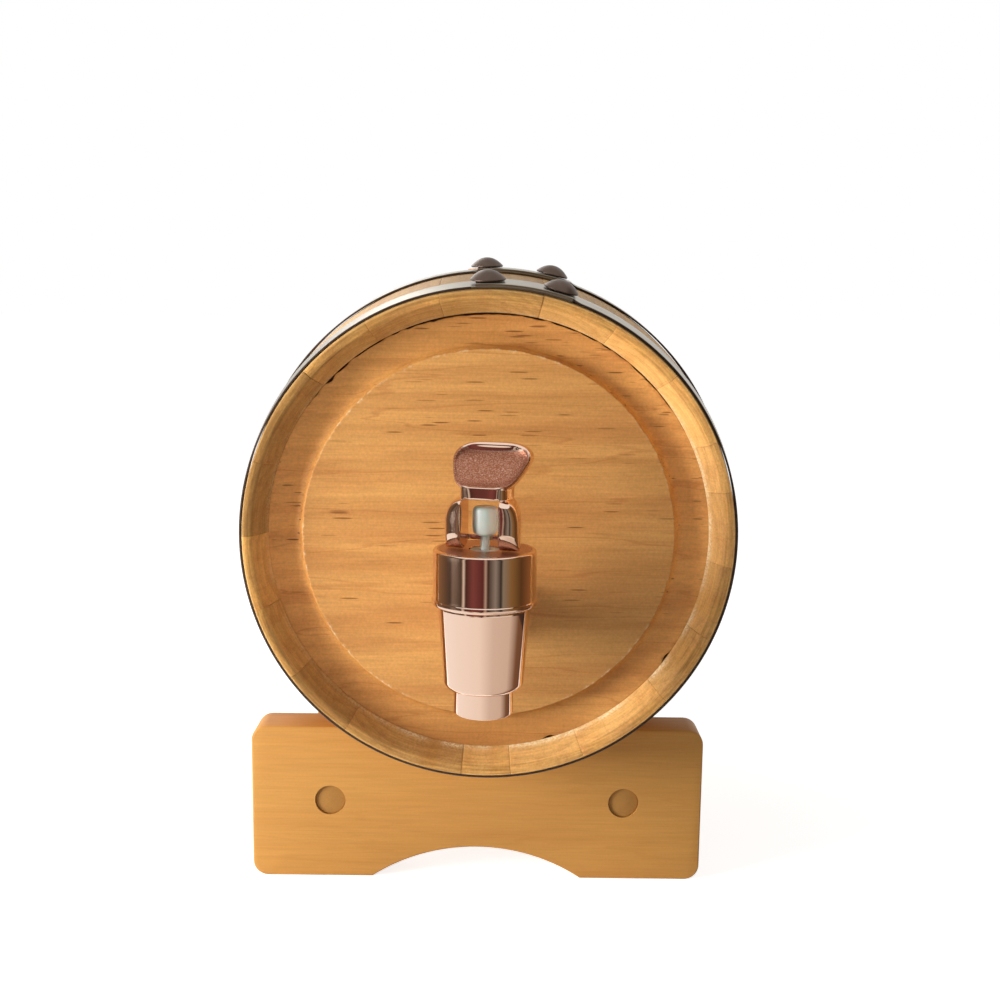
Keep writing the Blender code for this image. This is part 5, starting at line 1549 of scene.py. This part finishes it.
class BARREL_OT_tap_lever(bpy.types.Operator):
    """Builds the tap's lever: a scooped paddle on a fork of two cheeks"""

    bl_idname = "barrel.tap_lever"
    bl_label = "Tap Lever"

    def execute(self, context):
        lever = in_scene("lever_solid", lever_loft())
        reach = FORK_HALF_DEPTH * 1.4
        web_front = LEVER_AHEAD + STEM_RADIUS + SEAT_GAP
        window = fork_gap_mesh(-reach, reach, LIFTING_WEB_TOP, COLLAR_FOOT)
        slot = fork_gap_mesh(-reach, web_front, -reach, LIFTING_WEB_TOP + SEAT_GAP)
        cutters = [cut_away(lever, shape) for shape in (window, slot, scoop_mesh())]
        # A fine remesh and a little smoothing round every edge, as the mould does.
        remesh = lever.modifiers.new("even", "REMESH")
        remesh.mode = "VOXEL"
        remesh.voxel_size = 0.3 * MM
        soften = lever.modifiers.new("soften", "SMOOTH")
        soften.factor = 0.5
        soften.iterations = 8
        mesh = evaluated_mesh(lever, *cutters)
        store(mesh, "sand", sand_share(points_of(mesh)))
        axis = Vector(LEVER_JOINT["axis"])
        turn = Matrix.Rotation(math.atan2(axis.y, axis.x), 4, "Z")
        mesh.transform(Matrix.Translation(LEVER_JOINT["pos_m"]) @ turn)
        hand_over("tap_lever", mesh, "tap_lever", "rose_gold", sharp=80.0)
        return {"FINISHED"}


class BARREL_OT_inner_fittings(bpy.types.Operator):
    """Gives the fittings inside the barrel and the tap their finishes"""

    bl_idname = "barrel.inner_fittings"
    bl_label = "Inner Fittings"

    def execute(self, context):
        fittings = {"tap_inner_washer": "silicone", "tap_seat_cup": "silicone", "tap_nut": "nut_plastic"}
        for node, finish in fittings.items():
            frame["nodes"][node].material_slots[0].material = finishes()[finish]
        return {"FINISHED"}


def seen_directly(tree):
    """1 for a ray from the camera, a mirror or glass, and 0 for light that falls on the object."""
    rays = add(tree, "ShaderNodeLightPath").node.outputs
    seen = rays["Is Camera Ray"]
    for name in ("Is Glossy Ray", "Is Transmission Ray"):
        seen = add(tree, MATH, (seen, rays[name]), operation="MAXIMUM")
    return seen


def floor_material():
    """Matt white paper. What looks straight at it, or mirrors it, sees it lifted to white."""
    made, tree, shader = new_material("white paper")
    lift = add(tree, MATH, (seen_directly(tree), FLOOR_LIFT), operation="MULTIPLY")
    connect(shader, {"Base Color": linear("#E4E4E2"), "Roughness": 0.9, "Specular IOR Level": 0.0})
    connect(shader, {"Emission Color": WHITE, "Emission Strength": lift})
    return made


def white_world():
    """A soft light, weaker from straight above, seen as plain white."""
    world = bpy.data.worlds.new("white studio")
    world.use_nodes = True
    tree = world.node_tree
    tree.nodes.clear()
    height = add(tree, "ShaderNodeSeparateXYZ", (add(tree, COORDINATES, out="Generated"),), "Z")
    light = add(tree, RANGE, (height, 0.0, 0.9, HORIZON_LIGHT, OVERHEAD_LIGHT))
    strength = add(tree, RANGE, (seen_directly(tree), 0.0, 1.0, light, 1.0))
    background = add(tree, "ShaderNodeBackground", {"Color": WHITE, "Strength": strength})
    add(tree, "ShaderNodeOutputWorld", {"Surface": background})
    return world


def card_material(name, stripes, strength):
    """Card in stripes that glow. stripes gives each tone by how far along the card it lies."""
    made = bpy.data.materials.new(name)
    made.use_nodes = True
    tree = made.node_tree
    tree.nodes.clear()
    across = add(tree, ATTRIBUTE, out="Fac", attribute_name="across")
    tones = add(tree, "ShaderNodeValToRGB", (across,), "Color")
    ramp_stops = tones.node.color_ramp.elements
    for i, (at, code) in enumerate(stripes.items()):
        stop = ramp_stops[i] if i < 2 else ramp_stops.new(at)
        stop.position = at
        stop.color = linear(code)
    glow = add(tree, "ShaderNodeEmission", {"Color": tones, "Strength": strength})
    add(tree, "ShaderNodeOutputMaterial", {"Surface": glow})
    return made


def studio_card(name, near, far, foot, top, material):
    """A card in an arc around the front of the tap. It shows in mirrors and lights nothing."""
    shares = np.linspace(0, 1, CARD_COLUMNS)
    turn = (shares * 2 - 1) * CARD_SPREAD
    out = np.stack([np.sin(turn), -np.cos(turn), np.zeros(CARD_COLUMNS)], axis=1)
    middle = np.array((0.0, TAP_AXIS.y, 0.0))
    mesh = grid_mesh(name, np.array([middle + out * near + (0, 0, foot), middle + out * far + (0, 0, top)]))
    store(mesh, "across", np.tile(shares, 2))
    card = finished(name, mesh, material)
    for ray in ("camera", "diffuse", "shadow", "transmission"):
        setattr(card, "visible_" + ray, False)
    return card


def soft_box(name, place, size, power):
    """A square area light that faces the middle of the barrel."""
    data = bpy.data.lights.new(name, "AREA")
    data.shape = "SQUARE"
    data.size = size
    data.energy = power
    lamp = in_scene(name, data)
    lamp.location = place
    ahead = Vector((0.0, 0.0, AXIS_HEIGHT)) - Vector(place)
    lamp.rotation_euler = ahead.to_track_quat("-Z", "Y").to_euler()


class BARREL_OT_stage(bpy.types.Operator):
    """Builds the floor, the soft light and the camera"""

    bl_idname = "barrel.stage"
    bl_label = "Stage"

    def execute(self, context):
        scene = context.scene
        corners = [(x * FLOOR_REACH, y * FLOOR_REACH, 0.0) for x, y in ((-1, -1), (1, -1), (1, 1), (-1, 1))]
        mesh = bpy.data.meshes.new("floor")
        mesh.from_pydata(corners, [], [(0, 1, 2, 3)])
        floor = finished("floor", mesh, floor_material())
        floor.location.z = -FLOOR_DROP
        tall = card_material("studio card", CARD_TONES, 1.0)
        low = card_material("studio mat", MAT_TONES, MAT_GLOW)
        far = card_material("studio far mat", FAR_MAT_TONES, MAT_GLOW)
        studio_card("tall_card", CARD_AWAY, CARD_AWAY, 0.0, CARD_HEIGHT, tall)
        studio_card("low_mat", MAT_NEAR, MAT_FAR, MAT_HEIGHT, MAT_HEIGHT, low)
        studio_card("far_mat", MAT_FAR, CARD_AWAY, MAT_HEIGHT, MAT_HEIGHT, far)
        scene.world = white_world()
        soft_box("key_light", KEY_PLACE, KEY_SIZE, KEY_POWER)
        soft_box("back_light", BACK_PLACE, BACK_SIZE, BACK_POWER)

        level = math.cos(CAMERA_PITCH)
        ahead = Vector((math.sin(CAMERA_YAW) * level, math.cos(CAMERA_YAW) * level, -math.sin(CAMERA_PITCH)))
        right = Vector((math.cos(CAMERA_YAW), -math.sin(CAMERA_YAW), 0.0))
        view = Matrix((right, right.cross(ahead), -ahead)).transposed().to_4x4()
        place = (CAMERA_ASIDE, BARREL_Y - HALF_LENGTH - CAMERA_AHEAD, AXIS_HEIGHT + CAMERA_ABOVE)
        data = bpy.data.cameras.new("camera")
        data.lens = CAMERA_LENS
        data.sensor_width = SENSOR_WIDTH
        camera = in_scene("camera", data)
        camera.matrix_world = Matrix.Translation(place) @ view @ Matrix.Rotation(CAMERA_ROLL, 4, "Z")
        scene.camera = camera
        scene.view_settings.view_transform = "Standard"
        return {"FINISHED"}


PIECES = (
    BARREL_OT_staves,
    BARREL_OT_heads,
    BARREL_OT_bung,
    BARREL_OT_hoops,
    BARREL_OT_rivets,
    BARREL_OT_stand,
    BARREL_OT_tap_body,
    BARREL_OT_plunger,
    BARREL_OT_tap_lever,
    BARREL_OT_inner_fittings,
    BARREL_OT_stage,
)


GROUPS = {
    "barrel_sizes": BarrelSizes,
    "stand_sizes": StandSizes,
    "tap_sizes": TapSizes,
    "barrel_colours": BarrelColours,
}


class BARREL_PT_panel(bpy.types.Panel):
    """Lists the sizes, the colours and the pieces"""

    bl_idname = "BARREL_PT_panel"
    bl_label = "Wooden Barrel"
    bl_space_type = "VIEW_3D"
    bl_region_type = "UI"
    bl_category = "Barrel"

    def draw(self, context):
        for name, group in GROUPS.items():
            box = self.layout.box()
            for size in group.__annotations__:
                box.prop(getattr(context.scene, name), size)
        for piece in PIECES:
            self.layout.operator(piece.bl_idname)


def register():
    for name, group in GROUPS.items():
        bpy.utils.register_class(group)
        setattr(bpy.types.Scene, name, PointerProperty(type=group))
    for piece in PIECES:
        bpy.utils.register_class(piece)
    bpy.utils.register_class(BARREL_PT_panel)


def unregister():
    bpy.utils.unregister_class(BARREL_PT_panel)
    for piece in reversed(PIECES):
        bpy.utils.unregister_class(piece)
    for name, group in GROUPS.items():
        delattr(bpy.types.Scene, name)
        bpy.utils.unregister_class(group)


def main():
    register()
    for piece in PIECES:
        group, name = piece.bl_idname.split(".")
        getattr(getattr(bpy.ops, group), name)()


if __name__ == "__main__":
    main()
